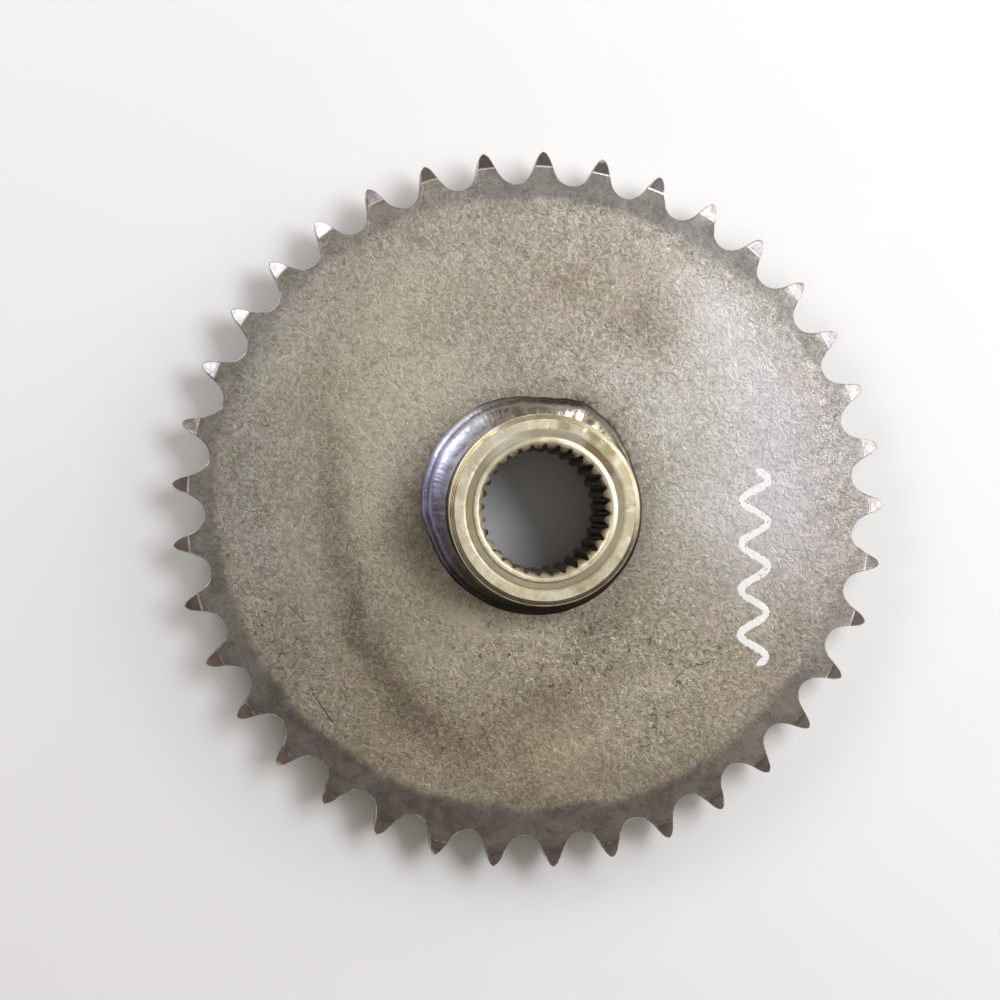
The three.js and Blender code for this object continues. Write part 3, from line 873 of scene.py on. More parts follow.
def bead(name, section, base, materials, wide, ripple, pitch, seed, up, lumps=(), cols=900, slant=1.0, heat=HEAT_AND_LIGHT, bare=0.0):
    """A weld pass: a section swept round the hub with the ripples of the puddle on its skin.

    section: surface points (r, z) from the plate side to the hub side, in the mean size.
    base: the points that close it underneath. wide(deg): the width factor.
    up: +1 on the front, -1 on the rear."""
    s = Soup()
    ang = np.linspace(0, 2 * np.pi, cols, endpoint=False)
    deg = np.degrees(ang)
    ca, sa = np.cos(ang), np.sin(ang)
    k = wide(deg)
    r_in = HUB_R + GAP
    pts = arc_points(section, 26)
    tan = np.gradient(pts, axis=0)
    tan /= np.hypot(*tan.T)[:, None]
    nrm = np.stack([tan[:, 1], -tan[:, 0]], 1) * up
    rows = []
    u_all = np.linspace(0, 1, len(pts))
    # heat tint by angle, which on the front passes also carries painted highlight and painted shade
    heat_tint_and_light = by_angle(heat, deg + 4 * noise(deg / 14.0, 0, 0, seed + 9)) / 255.0
    heat_tint_and_light = np.where(heat_tint_and_light <= 0.04045, heat_tint_and_light / 12.92, ((heat_tint_and_light + 0.055) / 1.055) ** 2.4)
    fresh = bare * by_angle([(0, 0), (42, 0), (47, .9), (57, 1), (60.5, .7), (61.4, 0), (63, 1), (71, 1), (78, .55), (86, 0), (360, 0)], deg)
    tints = {"tr": heat_tint_and_light[:, 0], "tg": heat_tint_and_light[:, 1], "tb": heat_tint_and_light[:, 2]}
    count = round(2 * math.pi * 56 / pitch)
    for (r, z), (nr, nz), u in zip(pts, nrm, u_all):
        rr = r_in + (r - r_in) * k
        zz = np.full(cols, z)
        fade = smooth(min(u, 1 - u) / 0.10)
        # half-moon ripples: the crest lags at the edges of the bead
        lag = slant * (2.0 * (u - 0.5)) ** 2 * 2.2 / 56
        jitter = 0.35 * noise(deg / 5.0, u * 2.0, 0, seed + 1) * 2 * math.pi
        phase = count * (ang - lag) + jitter
        rip = ripple * (0.65 + 0.35 * noise(deg / 9.0, u * 1.5, 0, seed + 2)) * (0.5 - np.abs(np.mod(phase / (2 * np.pi), 1.0) - 0.5)) * 2
        soft = (0.05 + 0.09 * smooth(u / 0.4)) * fractal(deg / 9.0, u * 1.6, 0, seed + 3, 2) + 0.035 * fractal(deg / 1.9, u * 4, 0, seed + 4, 2)
        h = (rip + soft) * fade
        edge = 0.0
        if u < 0.2:  # the toe wanders on the plate
            edge = (1 - u / 0.2) * (0.16 * noise(deg / 11.0, 0, 0, seed + 5) + 0.07 * noise(deg / 2.4, 0, 0, seed + 6))
        for a0, w, u0, uw, d in lumps:
            h = h + d * smooth(1 - np.abs(turn(deg, a0)) / w) * smooth(1 - abs(u - u0) / uw)
        rr = rr + nr * h + edge
        zz = zz + nz * h
        rr = np.maximum(rr, HUB_R - 0.15)
        white = fresh * bump(u, by_angle([(0, .80), (50, .82), (60, .66), (66, .54), (75, .62), (84, .80), (360, .80)], deg), 0.42) * (0.8 + 0.35 * noise(deg / 2.6, u * 5, 0, seed + 12))
        rows.append(s.add(np.stack([rr * ca, rr * sa, zz], 1), u=u, silver=white, **tints))
    low = []
    for r, z in base:
        rr = r_in + (r - r_in) * k
        low.append(s.add(np.stack([rr * ca, rr * sa, np.full(cols, z)], 1), u=1.0, silver=0.0, **tints))
    loops = rows + low
    for i in range(len(loops)):
        a, b = loops[i], loops[(i + 1) % len(loops)]
        s.strip(a, b, 0, flip=(up < 0))
    return s.build(name, 60, materials)


# ------------------------------------------------------------------ paint stroke
def paint_mesh(materials):
    """One plain wavy stroke of marker paint down the plate, following the scale under it."""
    s = Soup()
    n, m = 420, 9
    t = np.linspace(0, 1, n)
    cy = 22.0 - 108.0 * t
    cx = 122.6 + 7.2 * np.sin(2 * np.pi * (4.5 * t + 0.04 * np.sin(5 * t))) + 0.8 * noise(t * 9, 0, 0, 211) - 1.6 * t
    dx, dy = np.gradient(cx), np.gradient(cy)
    ln = np.hypot(dx, dy)
    nx, ny = -dy / ln, dx / ln
    width = 2.15 + 0.28 * noise(t * 22, 3, 0, 212) + 0.14 * noise(t * 90, 5, 0, 213)
    width = width * np.sqrt(np.clip(np.minimum(t / 0.012, (1 - t) / 0.02), 0.02, 1))
    rows = []
    for j in range(m):
        u = -1 + 2 * j / (m - 1)
        x, y = cx + nx * width * u, cy + ny * width * u
        film = 0.13 * (1 - abs(u) ** 6) - 0.02
        rows.append(s.add(np.stack([x, y, front_height(x, y) + film], 1), u=u))
    under = []
    for j in (m - 1, 0):
        u = -1 + 2 * j / (m - 1)
        x, y = cx + nx * width * u, cy + ny * width * u
        under.append(s.add(np.stack([x, y, front_height(x, y) - 0.2], 1), u=u))
    loops = rows + under
    for i in range(len(loops)):
        s.strip(loops[i], loops[(i + 1) % len(loops)], 0, closed=False)
    s.face([int(l[0]) for l in loops], 0)
    s.face([int(l[-1]) for l in loops][::-1], 0)
    return s.build("paint_stroke", 40, materials)


# ------------------------------------------------------------------ materials
def plate_scale():
    g = Graph("plate_scale")
    rim, dark, pale, sandy_and_light = g.attr("rim"), g.attr("dark"), g.attr("pale"), g.attr("sandy_and_light")
    worm = g.noise(215.0, 3.0, 0.56, 2.2)
    fine = g.noise(640.0, 2.0, 0.5, 0.8)
    lump = g.noise(105.0, 3.0, 0.6, 0.8)
    cloud = g.noise(26.0, 4.0, 0.58, 0.8)
    hue = g.noise(70.0, 4.0, 0.62, 0.8)
    grain = g.math("ADD", g.math("MULTIPLY", worm, 0.76), g.math("MULTIPLY", fine, 0.24))
    # short curled flakes of scale: bright ridges and dark furrows
    skin = g.attr("rough")
    over = g.vector("ADD", g.p, (0.37, 0.11, 0.0))
    ridge = g.ramp(g.math("ABSOLUTE", g.math("SUBTRACT", g.noise(200.0, 2.0, 0.52, 1.4), 0.5)), 0.006, 0.045, 1.0, 0.0)
    furrow = g.ramp(g.math("ABSOLUTE", g.math("SUBTRACT", g.noise(220.0, 2.0, 0.52, 1.4, vector=over), 0.5)), 0.004, 0.036, 1.0, 0.0)
    broken = g.ramp(g.noise(330.0, 1.0, 0.5, 0.4), 0.42, 0.56)
    ridge = g.math("MULTIPLY", ridge, broken)
    furrow = g.math("MULTIPLY", furrow, g.math("SUBTRACT", 1.0, broken))
    # sandy scale, its grains greenish in some places and pinkish in others
    col = g.mix(g.ramp(grain, 0.37, 0.63), rgb(137, 130, 117), rgb(178, 170, 157))
    col = g.mix(g.math("MULTIPLY", g.ramp(hue, 0.50, 0.64), 0.42), col, rgb(148, 146, 123))
    col = g.mix(g.math("MULTIPLY", g.ramp(hue, 0.48, 0.36), 0.42), col, rgb(178, 162, 152))
    col = g.mix(g.math("MULTIPLY", g.ramp(cloud, 0.40, 0.62), 0.22), col, rgb(134, 127, 108))
    col = g.mix(g.math("MULTIPLY", ridge, g.ramp(skin, 0.0, 1.0, 0.18, 0.62)), col, rgb(214, 207, 195))
    col = g.mix(g.math("MULTIPLY", furrow, g.ramp(skin, 0.0, 1.0, 0.22, 0.78)), col, rgb(92, 85, 74))
    # small dark pits, and sparse small bright specks that are painted glints
    pit = g.noise(430.0, 1.5, 0.5, 0.6)
    where = g.ramp(skin, 0.1, 0.8, 0.30, 1.0)
    col = g.mix(g.math("MULTIPLY", g.ramp(pit, 0.37, 0.29), where), col, rgb(86, 78, 68))
    glint_specks = g.noise(430.0, 1.5, 0.5, 0.9)
    col = g.mix(g.math("MULTIPLY", g.ramp(glint_specks, 0.655, 0.73), 0.50), col, rgb(228, 223, 213))
    # lighter scale, yellower scale with painted light beside the hub, brown oily swirl with a patch of painted shade,
    # and a ring beside the weld darkened by heat tint and painted shade
    col = g.mix(g.math("MULTIPLY", pale, g.ramp(grain, 0.34, 0.56, 0.68, 1.0)), col, rgb(203, 200, 199))
    # yellower scale; beside the hub at 240 and 268 degrees it is painted light where the hub's shadow falls
    col = g.mix(g.math("MULTIPLY", sandy_and_light, g.ramp(grain, 0.34, 0.56, 0.55, 1.0)), col, rgb(204, 196, 175))
    col = g.mix(g.ramp(g.y, 0.010, -0.110), col, g.mix(1.0, col, (1.0, 0.955, 0.885), "MULTIPLY"))
    col = g.mix(g.ramp(g.x, 0.075, 0.165), col, g.mix(1.0, col, (0.955, 0.955, 1.03), "MULTIPLY"))
    col = g.mix(g.attr("rusty"), col, g.mix(1.0, col, (1.035, 0.965, 0.895), "MULTIPLY"))
    col = g.mix(g.attr("mossy"), col, g.mix(1.0, col, (0.955, 1.0, 0.935), "MULTIPLY"))
    # dark oil and scale; the patch just left of the hub is painted shade
    soot_and_shade = g.math("MULTIPLY", dark, g.ramp(g.math("ADD", grain, g.math("MULTIPLY", g.math("SUBTRACT", cloud, 0.5), 0.5)), 0.30, 0.62, 1.0, 0.62))
    col = g.mix(g.math("MULTIPLY", soot_and_shade, 0.80), col, rgb(84, 69, 50))
    # heat tint and painted shade at the weld's foot: a darker ring beside the weld, weaker towards the bottom
    reach = g.math("ADD", g.r, g.math("MULTIPLY", g.math("SUBTRACT", lump, 0.5), 0.014))
    heat_and_shade_ring = g.math("MULTIPLY", g.ramp(reach, 0.0585, 0.0725, 1.0, 0.0), g.ramp(g.y, -0.050, -0.020, 0.14, 0.42))
    col = g.mix(heat_and_shade_ring, col, rgb(84, 79, 73))
    # scratches
    wob = g.math("MULTIPLY", g.math("SUBTRACT", g.noise(260.0, 3.0), 0.5), 0.0016)
    scored = None
    for x0, y0, x1, y1, wide, depth in SCRATCHES:
        m = g.math("MULTIPLY", g.line(x0, y0, x1, y1, wide, wob), depth)
        scored = m if scored is None else g.math("MAXIMUM", scored, m)
    scored = g.math("MULTIPLY", scored, g.ramp(g.z, 0.020, 0.024))
    col = g.mix(scored, col, rgb(70, 64, 56))
    # slag spots beside the end of the weld
    warp = g.math("MULTIPLY", g.math("SUBTRACT", g.noise(480.0, 3.0, 0.6, 0.8), 0.5), 0.0044)
    slag = None
    for x, y, rad in ((44.0, 45.0, 1.8), (46.8, 40.8, 1.2), (41.2, 48.0, 1.5), (49.4, 36.5, 0.8), (52.0, 31.4, 0.6),
                      (27.2, 59.2, 1.6), (23.2, 60.8, 1.4), (34.0, 55.0, 0.9), (30.4, 57.6, 1.3), (55.4, 23.8, 0.5)):
        m = g.spot(x, y, Z_FRONT, rad, 2.0, warp)
        slag = m if slag is None else g.math("MAXIMUM", slag, m)
    col = g.mix(g.math("MULTIPLY", slag, 0.68), col, rgb(50, 51, 47))
    # the smooth hardened band: bluish grey, almost without grain
    band = g.mix(g.ramp(g.noise(55.0, 4.0, 0.6, 0.7), 0.35, 0.65), rgb(88, 85, 83), rgb(118, 114, 111))
    band = g.mix(g.ramp(g.y, -0.050, -0.150), band, g.mix(1.0, band, (0.90, 0.84, 0.76), "MULTIPLY"))
    band = g.mix(g.math("MULTIPLY", g.ramp(g.noise(90.0, 3.0, 0.6, 0.9), 0.54, 0.66), 0.4), band, rgb(112, 104, 112))
    band = g.mix(g.math("MULTIPLY", g.ramp(grain, 0.46, 0.36), 0.4), band, rgb(64, 62, 60))
    col = g.mix(g.math("MULTIPLY", rim, 0.90), col, band)
    col = g.mix(g.attr("bluish"), col, g.mix(1.0, col, (0.93, 0.965, 1.055), "MULTIPLY"))
    rough = g.math("ADD", g.ramp(lump, 0.35, 0.65, 0.40, 0.50), g.math("MULTIPLY", dark, 0.06))
    g.set(Base_Color=col, Metallic=0.75, Roughness=rough)
    keep = g.math("SUBTRACT", 1.0, g.math("MULTIPLY", rim, 0.72))
    relief = g.math("MULTIPLY", g.math("SUBTRACT", ridge, furrow), g.ramp(skin, 0.0, 1.0, 0.3, 1.0))
    g.bumps((g.math("MULTIPLY", relief, keep), 0.55, 0.10), (g.math("MULTIPLY", worm, keep), 0.45, 0.45),
            (g.math("MULTIPLY", fine, keep), 0.18, 0.12), (lump, 0.22, 0.5), (scored, 0.6, -0.2))
    return g.mat


def worn_edge():
    g = Graph("worn_edge")
    rub = g.noise(240.0, 3.0, 0.6)
    col = g.mix(g.ramp(rub, 0.34, 0.58), rgb(196, 186, 170), rgb(246, 242, 236))
    # painted shade: the rubbed line is greyed on the teeth that face the right-hand lamps; it is also darker and
    # browner towards the bottom
    east = g.ramp(g.vector("DOT_PRODUCT", g.flat, (0.906, 0.423, 0.0)), 0.146, 0.160)
    col = g.mix(g.math("MULTIPLY", east, 0.80), col, rgb(132, 129, 130))
    south = g.math("MULTIPLY", g.ramp(g.y, -0.040, -0.110), g.ramp(g.noise(120.0, 3.0, 0.6), 0.62, 0.50, 0.35, 0.86))
    col = g.mix(south, col, rgb(112, 103, 94))
    g.set(Base_Color=col, Metallic=1.0, Roughness=g.ramp(rub, 0.3, 0.7, 0.40, 0.28))
    g.bumps((g.noise(1500.0, 2.0), 0.2, 0.05))
    return g.mat


def worn_corner():
    """The corners of the tooth spaces: mostly still dark, rubbed bright here and there."""
    g = Graph("worn_corner")
    rub = g.noise(95.0, 4.0, 0.65)
    col = g.mix(g.ramp(rub, 0.44, 0.62), rgb(112, 106, 100), rgb(206, 200, 190))
    g.set(Base_Color=col, Metallic=0.9, Roughness=g.ramp(rub, 0.4, 0.7, 0.48, 0.34))
    g.bumps((g.noise(1500.0, 2.0), 0.2, 0.05))
    return g.mat


def turned_chamfer():
    g = Graph("tooth_chamfer")
    rings = g.noise(1.0, 3.0, 0.7, 0.0, dims="1D", w=g.math("MULTIPLY", g.r, 3200.0))
    blot = g.noise(130.0, 4.0, 0.6, 0.6)
    rust = g.noise(60.0, 4.0, 0.65, 0.8)
    tint = g.noise(21.0, 2.0, 0.5, 0.3)
    col = g.mix(g.ramp(blot, 0.35, 0.65), rgb(216, 210, 208), rgb(178, 168, 166))
    col = g.mix(g.math("MULTIPLY", g.ramp(tint, 0.52, 0.60), 0.40), col, rgb(150, 142, 176))
    col = g.mix(g.math("MULTIPLY", g.ramp(rust, 0.56, 0.70), 0.50), col, rgb(126, 92, 76))
    col = g.mix(g.math("MULTIPLY", g.ramp(g.noise(420.0, 3.0, 0.6), 0.60, 0.70), 0.45), col, rgb(82, 60, 54))
    # painted shade: the chamfers of the two runs of teeth that face the left and right side lamps are greyed
    west = g.ramp(g.vector("DOT_PRODUCT", g.flat, (-0.829, 0.559, 0.0)), 0.178, 0.187)
    east = g.ramp(g.vector("DOT_PRODUCT", g.flat, (0.906, 0.423, 0.0)), 0.154, 0.168)
    cloud = g.noise(260.0, 4.0, 0.62, 0.6)
    painted_shade_grey = g.mix(g.ramp(cloud, 0.36, 0.62), rgb(150, 147, 152), rgb(104, 102, 106))
    col = g.mix(g.math("MAXIMUM", g.math("MULTIPLY", west, 0.84), g.math("MULTIPLY", east, 0.62)), col, painted_shade_grey)
    g.set(Base_Color=col, Metallic=1.0, Roughness=g.ramp(blot, 0.3, 0.7, 0.16, 0.28))
    g.bumps((rings, 0.28, 0.05), (g.noise(700.0, 3.0), 0.10, 0.1))
    return g.mat


def plate_bore():
    g = Graph("plate_bore")
    n = g.noise(300.0, 3.0)
    g.set(Base_Color=g.mix(g.ramp(n, 0.4, 0.6), rgb(90, 84, 78), rgb(130, 122, 112)), Metallic=0.9, Roughness=g.ramp(n, 0.4, 0.6, 0.4, 0.55))
    g.bumps((n, 0.3, 0.2))
    return g.mat


def tooth_flank():
    """Cut sides of the teeth: fine drag lines through the plate, a polished roller track."""
    g = Graph("tooth_flank")
    drag = g.noise(1.0, 3.0, 0.62, 0.0, vector=g.scaled(900.0, 900.0, 60.0))
    blot = g.noise(110.0, 4.0, 0.6, 0.5)
    mid = g.math("MULTIPLY", g.ramp(g.z, 0.0145, 0.0175), g.ramp(g.z, 0.0240, 0.0270, 1.0, 0.0))
    col = g.mix(g.ramp(blot, 0.38, 0.62), rgb(104, 86, 72), rgb(158, 145, 132))
    col = g.mix(g.math("MULTIPLY", mid, 0.7), col, rgb(200, 193, 184))
    col = g.mix(g.math("MULTIPLY", g.ramp(g.noise(55.0, 4.0, 0.6), 0.54, 0.66), 0.55), col, rgb(98, 62, 42))
    g.set(Base_Color=col, Metallic=0.95, Roughness=g.math("SUBTRACT", g.ramp(blot, 0.3, 0.7, 0.36, 0.5), g.math("MULTIPLY", mid, 0.14)))
    g.bumps((drag, 0.4, 0.12))
    return g.mat


def turned_steel():
    g = Graph("hub_turned")
    arc, dirt = g.attr("arc"), g.attr("dirt")
    feed = g.noise(1.0, 2.0, 0.7, 0.0, dims="1D", w=g.math("MULTIPLY", arc, 2.6))
    hair = g.noise(1.0, 3.0, 0.75, 0.0, dims="1D", w=g.math("MULTIPLY", arc, 7.0))
    blot = g.noise(85.0, 4.0, 0.6, 0.5)
    smear = g.noise(34.0, 4.0, 0.62, 1.2)
    patch = g.noise(62.0, 3.0, 0.6, 0.9)
    col = g.mix(g.ramp(blot, 0.35, 0.65), rgb(243, 234, 210), rgb(216, 205, 172))
    west = g.ramp(g.x, -0.008, -0.034)
    stained = g.math("SUBTRACT", 1.0, g.math("MULTIPLY", west, 0.6))
    col = g.mix(g.math("MULTIPLY", g.math("MULTIPLY", g.ramp(smear, 0.50, 0.64), 0.50), stained), col, rgb(178, 167, 124))
    # painted shade: the land and chamfer are darker on the side facing the key lamp
    toward_key_lamp = g.vector("DOT_PRODUCT", g.flat, (0.90, 0.43, 0.0))
    col = g.mix(g.math("MULTIPLY", g.ramp(toward_key_lamp, 0.020, 0.042, 0.0, 0.52), g.ramp(g.r, 0.0424, 0.0432)), col, rgb(170, 158, 126))
    col = g.mix(g.math("MULTIPLY", g.math("MULTIPLY", g.ramp(patch, 0.56, 0.66), 0.45), stained), col, rgb(150, 140, 124))
    col = g.mix(g.math("MULTIPLY", g.ramp(hair, 0.54, 0.70), 0.40), col, rgb(132, 118, 94))
    # rubbed and oily lengths of the turned rings
    way = g.vector("ADD", g.vector("NORMALIZE", g.flat), g.scaled(34.0, 34.0, 0.0))
    length = g.noise(2.6, 3.0, 0.6, 0.6, vector=way)
    col = g.mix(g.math("MULTIPLY", g.ramp(length, 0.50, 0.62), 0.34), col, rgb(190, 176, 142))
    col = g.mix(g.math("MULTIPLY", g.ramp(length, 0.49, 0.38), 0.36), col, rgb(253, 248, 232))
    # painted highlight: the inner lip is brighter on the side facing the key lamp
    lip = g.math("MULTIPLY", g.ramp(g.r, 0.0372, 0.0378, 1.0, 0.0), g.ramp(toward_key_lamp, 0.018, 0.030))
    col = g.mix(g.math("MULTIPLY", lip, 0.75), col, rgb(252, 246, 226))
    # the sunk ring is darker all round, and painted shade darkens it further on the left and towards the bottom
    ring = g.math("MULTIPLY", g.math("MULTIPLY", g.ramp(g.r, 0.0373, 0.0384), g.ramp(g.r, 0.0412, 0.0424, 1.0, 0.0)), g.ramp(g.z, 0.0770, 0.0780))
    col = g.mix(g.math("MULTIPLY", ring, 0.78), col, rgb(158, 146, 122))
    col = g.mix(g.math("MULTIPLY", g.math("MULTIPLY", ring, west), 0.50), col, rgb(112, 99, 76))
    col = g.mix(g.math("MULTIPLY", g.math("MULTIPLY", ring, g.ramp(g.y, -0.014, -0.036)), 0.36), col, rgb(116, 102, 78))
    # brown oil burnt into one side of the sunk ring, an olive stain on the land beside it
    warp = g.math("MULTIPLY", g.math("SUBTRACT", g.noise(150.0, 3.0), 0.5), 0.010)
    stain = g.math("MAXIMUM", g.spot(26.5, 30.8, 79.0, 7.0, 3.5, warp), g.spot(33.5, 22.0, 79.0, 4.5, 2.5, warp))
    stain = g.math("MAXIMUM", stain, g.spot(32.0, 25.5, 79.0, 3.5, 2.5, warp))
    clean = g.spot(-20.0, 34.0, 79.0, 10.0, 8.0, warp)
    col = g.mix(g.math("MULTIPLY", clean, 0.45), col, rgb(236, 230, 212))
    col = g.mix(g.math("MULTIPLY", g.math("MULTIPLY", stain, ring), 0.70), col, rgb(120, 94, 54))
    land = g.math("MULTIPLY", g.ramp(g.r, 0.0424, 0.0432), g.ramp(g.r, 0.0466, 0.0480, 1.0, 0.0))
    olive = g.math("MAXIMUM", g.spot(26.0, 38.0, 79.5, 4.0, 3.5, warp), g.spot(32.5, 32.5, 79.5, 5.0, 3.5, warp))
    olive = g.math("MAXIMUM", olive, g.spot(11.0, 44.0, 79.5, 4.5, 3.5, warp))
    col = g.mix(g.math("MULTIPLY", g.math("MULTIPLY", olive, land), 0.75), col, rgb(138, 124, 78))
    # painted light on the chamfer at the back of the ring, turned away from the lamps, and rust on it
    side = g.ramp(g.r, 0.0472, 0.0480)
    left_chamfer_light = g.math("MULTIPLY", side, g.math("MULTIPLY", g.ramp(g.x, -0.030, -0.042), g.ramp(g.z, 0.0740, 0.0755)))
    col = g.mix(g.math("MULTIPLY", left_chamfer_light, 0.75), col, rgb(250, 236, 196))
    rusty = g.math("MAXIMUM", g.spot(-48.5, 0.0, 77.5, 3.2, 2.6, warp), g.spot(-47.5, 9.0, 78.0, 2.6, 2.2, warp))
    rusty = g.math("MAXIMUM", rusty, g.spot(-31.0, 37.5, 78.0, 3.0, 2.5, warp))
    col = g.mix(g.math("MULTIPLY", g.math("MULTIPLY", rusty, side), 0.6), col, rgb(172, 138, 84))
    # painted shade: the chamfer is darker towards the bottom
    low = g.math("MULTIPLY", side, g.ramp(g.y, 0.002, -0.024))
    col = g.mix(g.math("MULTIPLY", low, 0.36), col, rgb(112, 102, 80))
    # oil and heat tint on the outside of the head, with painted shade darkest at its foot and on the left
    foot = g.math("MULTIPLY", g.ramp(g.r, 0.0499, 0.0501), g.ramp(g.z, 0.0690, 0.0755, 1.0, 0.0))
    foot = g.math("MULTIPLY", foot, g.ramp(g.math("ADD", g.x, g.math("MULTIPLY", g.math("SUBTRACT", blot, 0.5), 0.03)), -0.030, 0.005, 0.88, 0.40))
    col = g.mix(foot, col, rgb(58, 50, 40))
    # dark in the turned grooves: dirt, and painted shade on the left and along the bottom
    col = g.mix(g.math("MULTIPLY", g.ramp(dirt, 0.28, 0.75), 0.92), col, rgb(34, 27, 16))
    rough = g.math("ADD", g.ramp(blot, 0.3, 0.7, 0.27, 0.38), g.math("MULTIPLY", ring, 0.07))
    # the recess wall is rougher, and painted shade darkens it towards the bottom
    wall = g.math("MULTIPLY", g.ramp(g.r, 0.0404, 0.0411), g.ramp(g.r, 0.0426, 0.0432, 1.0, 0.0))
    rough = g.math("ADD", rough, g.math("MULTIPLY", wall, 0.22))
    col = g.mix(g.math("MULTIPLY", g.math("MULTIPLY", wall, g.ramp(g.y, -0.012, -0.034)), 0.5), col, rgb(132, 120, 96))
    # painted shade: the chamfer is darker, and rougher, on the side facing the key lamp
    chamfer_facing_key_lamp = g.math("MULTIPLY", side, g.ramp(toward_key_lamp, 0.030, 0.046))
    rough = g.math("ADD", rough, g.math("MULTIPLY", chamfer_facing_key_lamp, 0.12))
    rough = g.math("ADD", rough, g.math("MULTIPLY", left_chamfer_light, 0.20))
    col = g.mix(g.math("MULTIPLY", chamfer_facing_key_lamp, 0.35), col, rgb(176, 165, 136))
    g.set(Base_Color=col, Metallic=1.0, Roughness=rough)
    g.bumps((feed, 0.45, 0.10), (hair, 0.28, 0.05), (g.noise(900.0, 3.0), 0.08, 0.08))
    return g.mat


def hub_barrel():
    """The barrel under the head, tinted by the heat of the weld."""
    g = Graph("hub_barrel")
    arc = g.attr("arc")
    feed = g.noise(1.0, 2.0, 0.7, 0.0, dims="1D", w=g.math("MULTIPLY", arc, 2.2))
    blot = g.noise(70.0, 4.0, 0.6, 0.5)
    heat = g.math("ADD", g.z, g.math("MULTIPLY", g.math("SUBTRACT", blot, 0.5), 0.012))
    col = g.mix(g.ramp(blot, 0.35, 0.65), rgb(176, 166, 148), rgb(140, 130, 112))
    col = g.mix(g.ramp(heat, 0.044, 0.058, 1.0, 0.0), col, rgb(132, 108, 78))
    col = g.mix(g.ramp(heat, 0.040, 0.048, 1.0, 0.0), col, rgb(86, 80, 88))
    col = g.mix(g.math("MULTIPLY", g.ramp(g.z, 0.006, 0.011), g.ramp(g.z, 0.020, 0.026, 1.0, 0.0)), col, rgb(84, 80, 86))
    face = g.mix(g.ramp(blot, 0.35, 0.65), rgb(188, 180, 164), rgb(148, 139, 122))
    face = g.mix(g.math("MULTIPLY", g.ramp(g.noise(45.0, 4.0, 0.6, 0.8), 0.50, 0.64), 0.6), face, rgb(112, 96, 76))
    col = g.mix(g.ramp(g.z, 0.0035, 0.0012), col, face)
    g.set(Base_Color=col, Metallic=0.95, Roughness=g.ramp(blot, 0.3, 0.7, 0.32, 0.46))
    g.bumps((feed, 0.4, 0.10), (g.noise(900.0, 3.0), 0.1, 0.08))
    return g.mat


def spline_steel():
    g = Graph("hub_spline")
    drag = g.noise(1.0, 3.0, 0.62, 0.0, vector=g.scaled(1500.0, 1500.0, 40.0))
    blot = g.noise(120.0, 4.0, 0.6, 0.5)
    oil = g.noise(40.0, 3.0, 0.6, 0.8)
    top = g.ramp(g.math("ADD", g.z, g.math("MULTIPLY", g.math("SUBTRACT", blot, 0.5), 0.006)), 0.0752, 0.0789)
    col = g.mix(g.ramp(blot, 0.38, 0.62), rgb(60, 51, 38), rgb(98, 86, 66))
    col = g.mix(g.math("MULTIPLY", g.ramp(oil, 0.44, 0.60), 0.65), col, rgb(34, 28, 19))
    rust = g.math("MULTIPLY", g.spot(22.0, -25.0, 72.0, 14.0, 8.0), g.ramp(g.noise(150.0, 3.0, 0.6), 0.45, 0.6))
    col = g.mix(g.math("MULTIPLY", rust, 0.7), col, rgb(150, 112, 66))
    col = g.mix(g.math("MULTIPLY", top, 0.80), col, rgb(196, 184, 150))
    g.set(Base_Color=col, Metallic=g.math("SUBTRACT", 0.95, g.math("MULTIPLY", top, 0.45)), Roughness=g.ramp(blot, 0.3, 0.7, 0.3, 0.44))
    g.bumps((drag, 0.35, 0.08))
    return g.mat


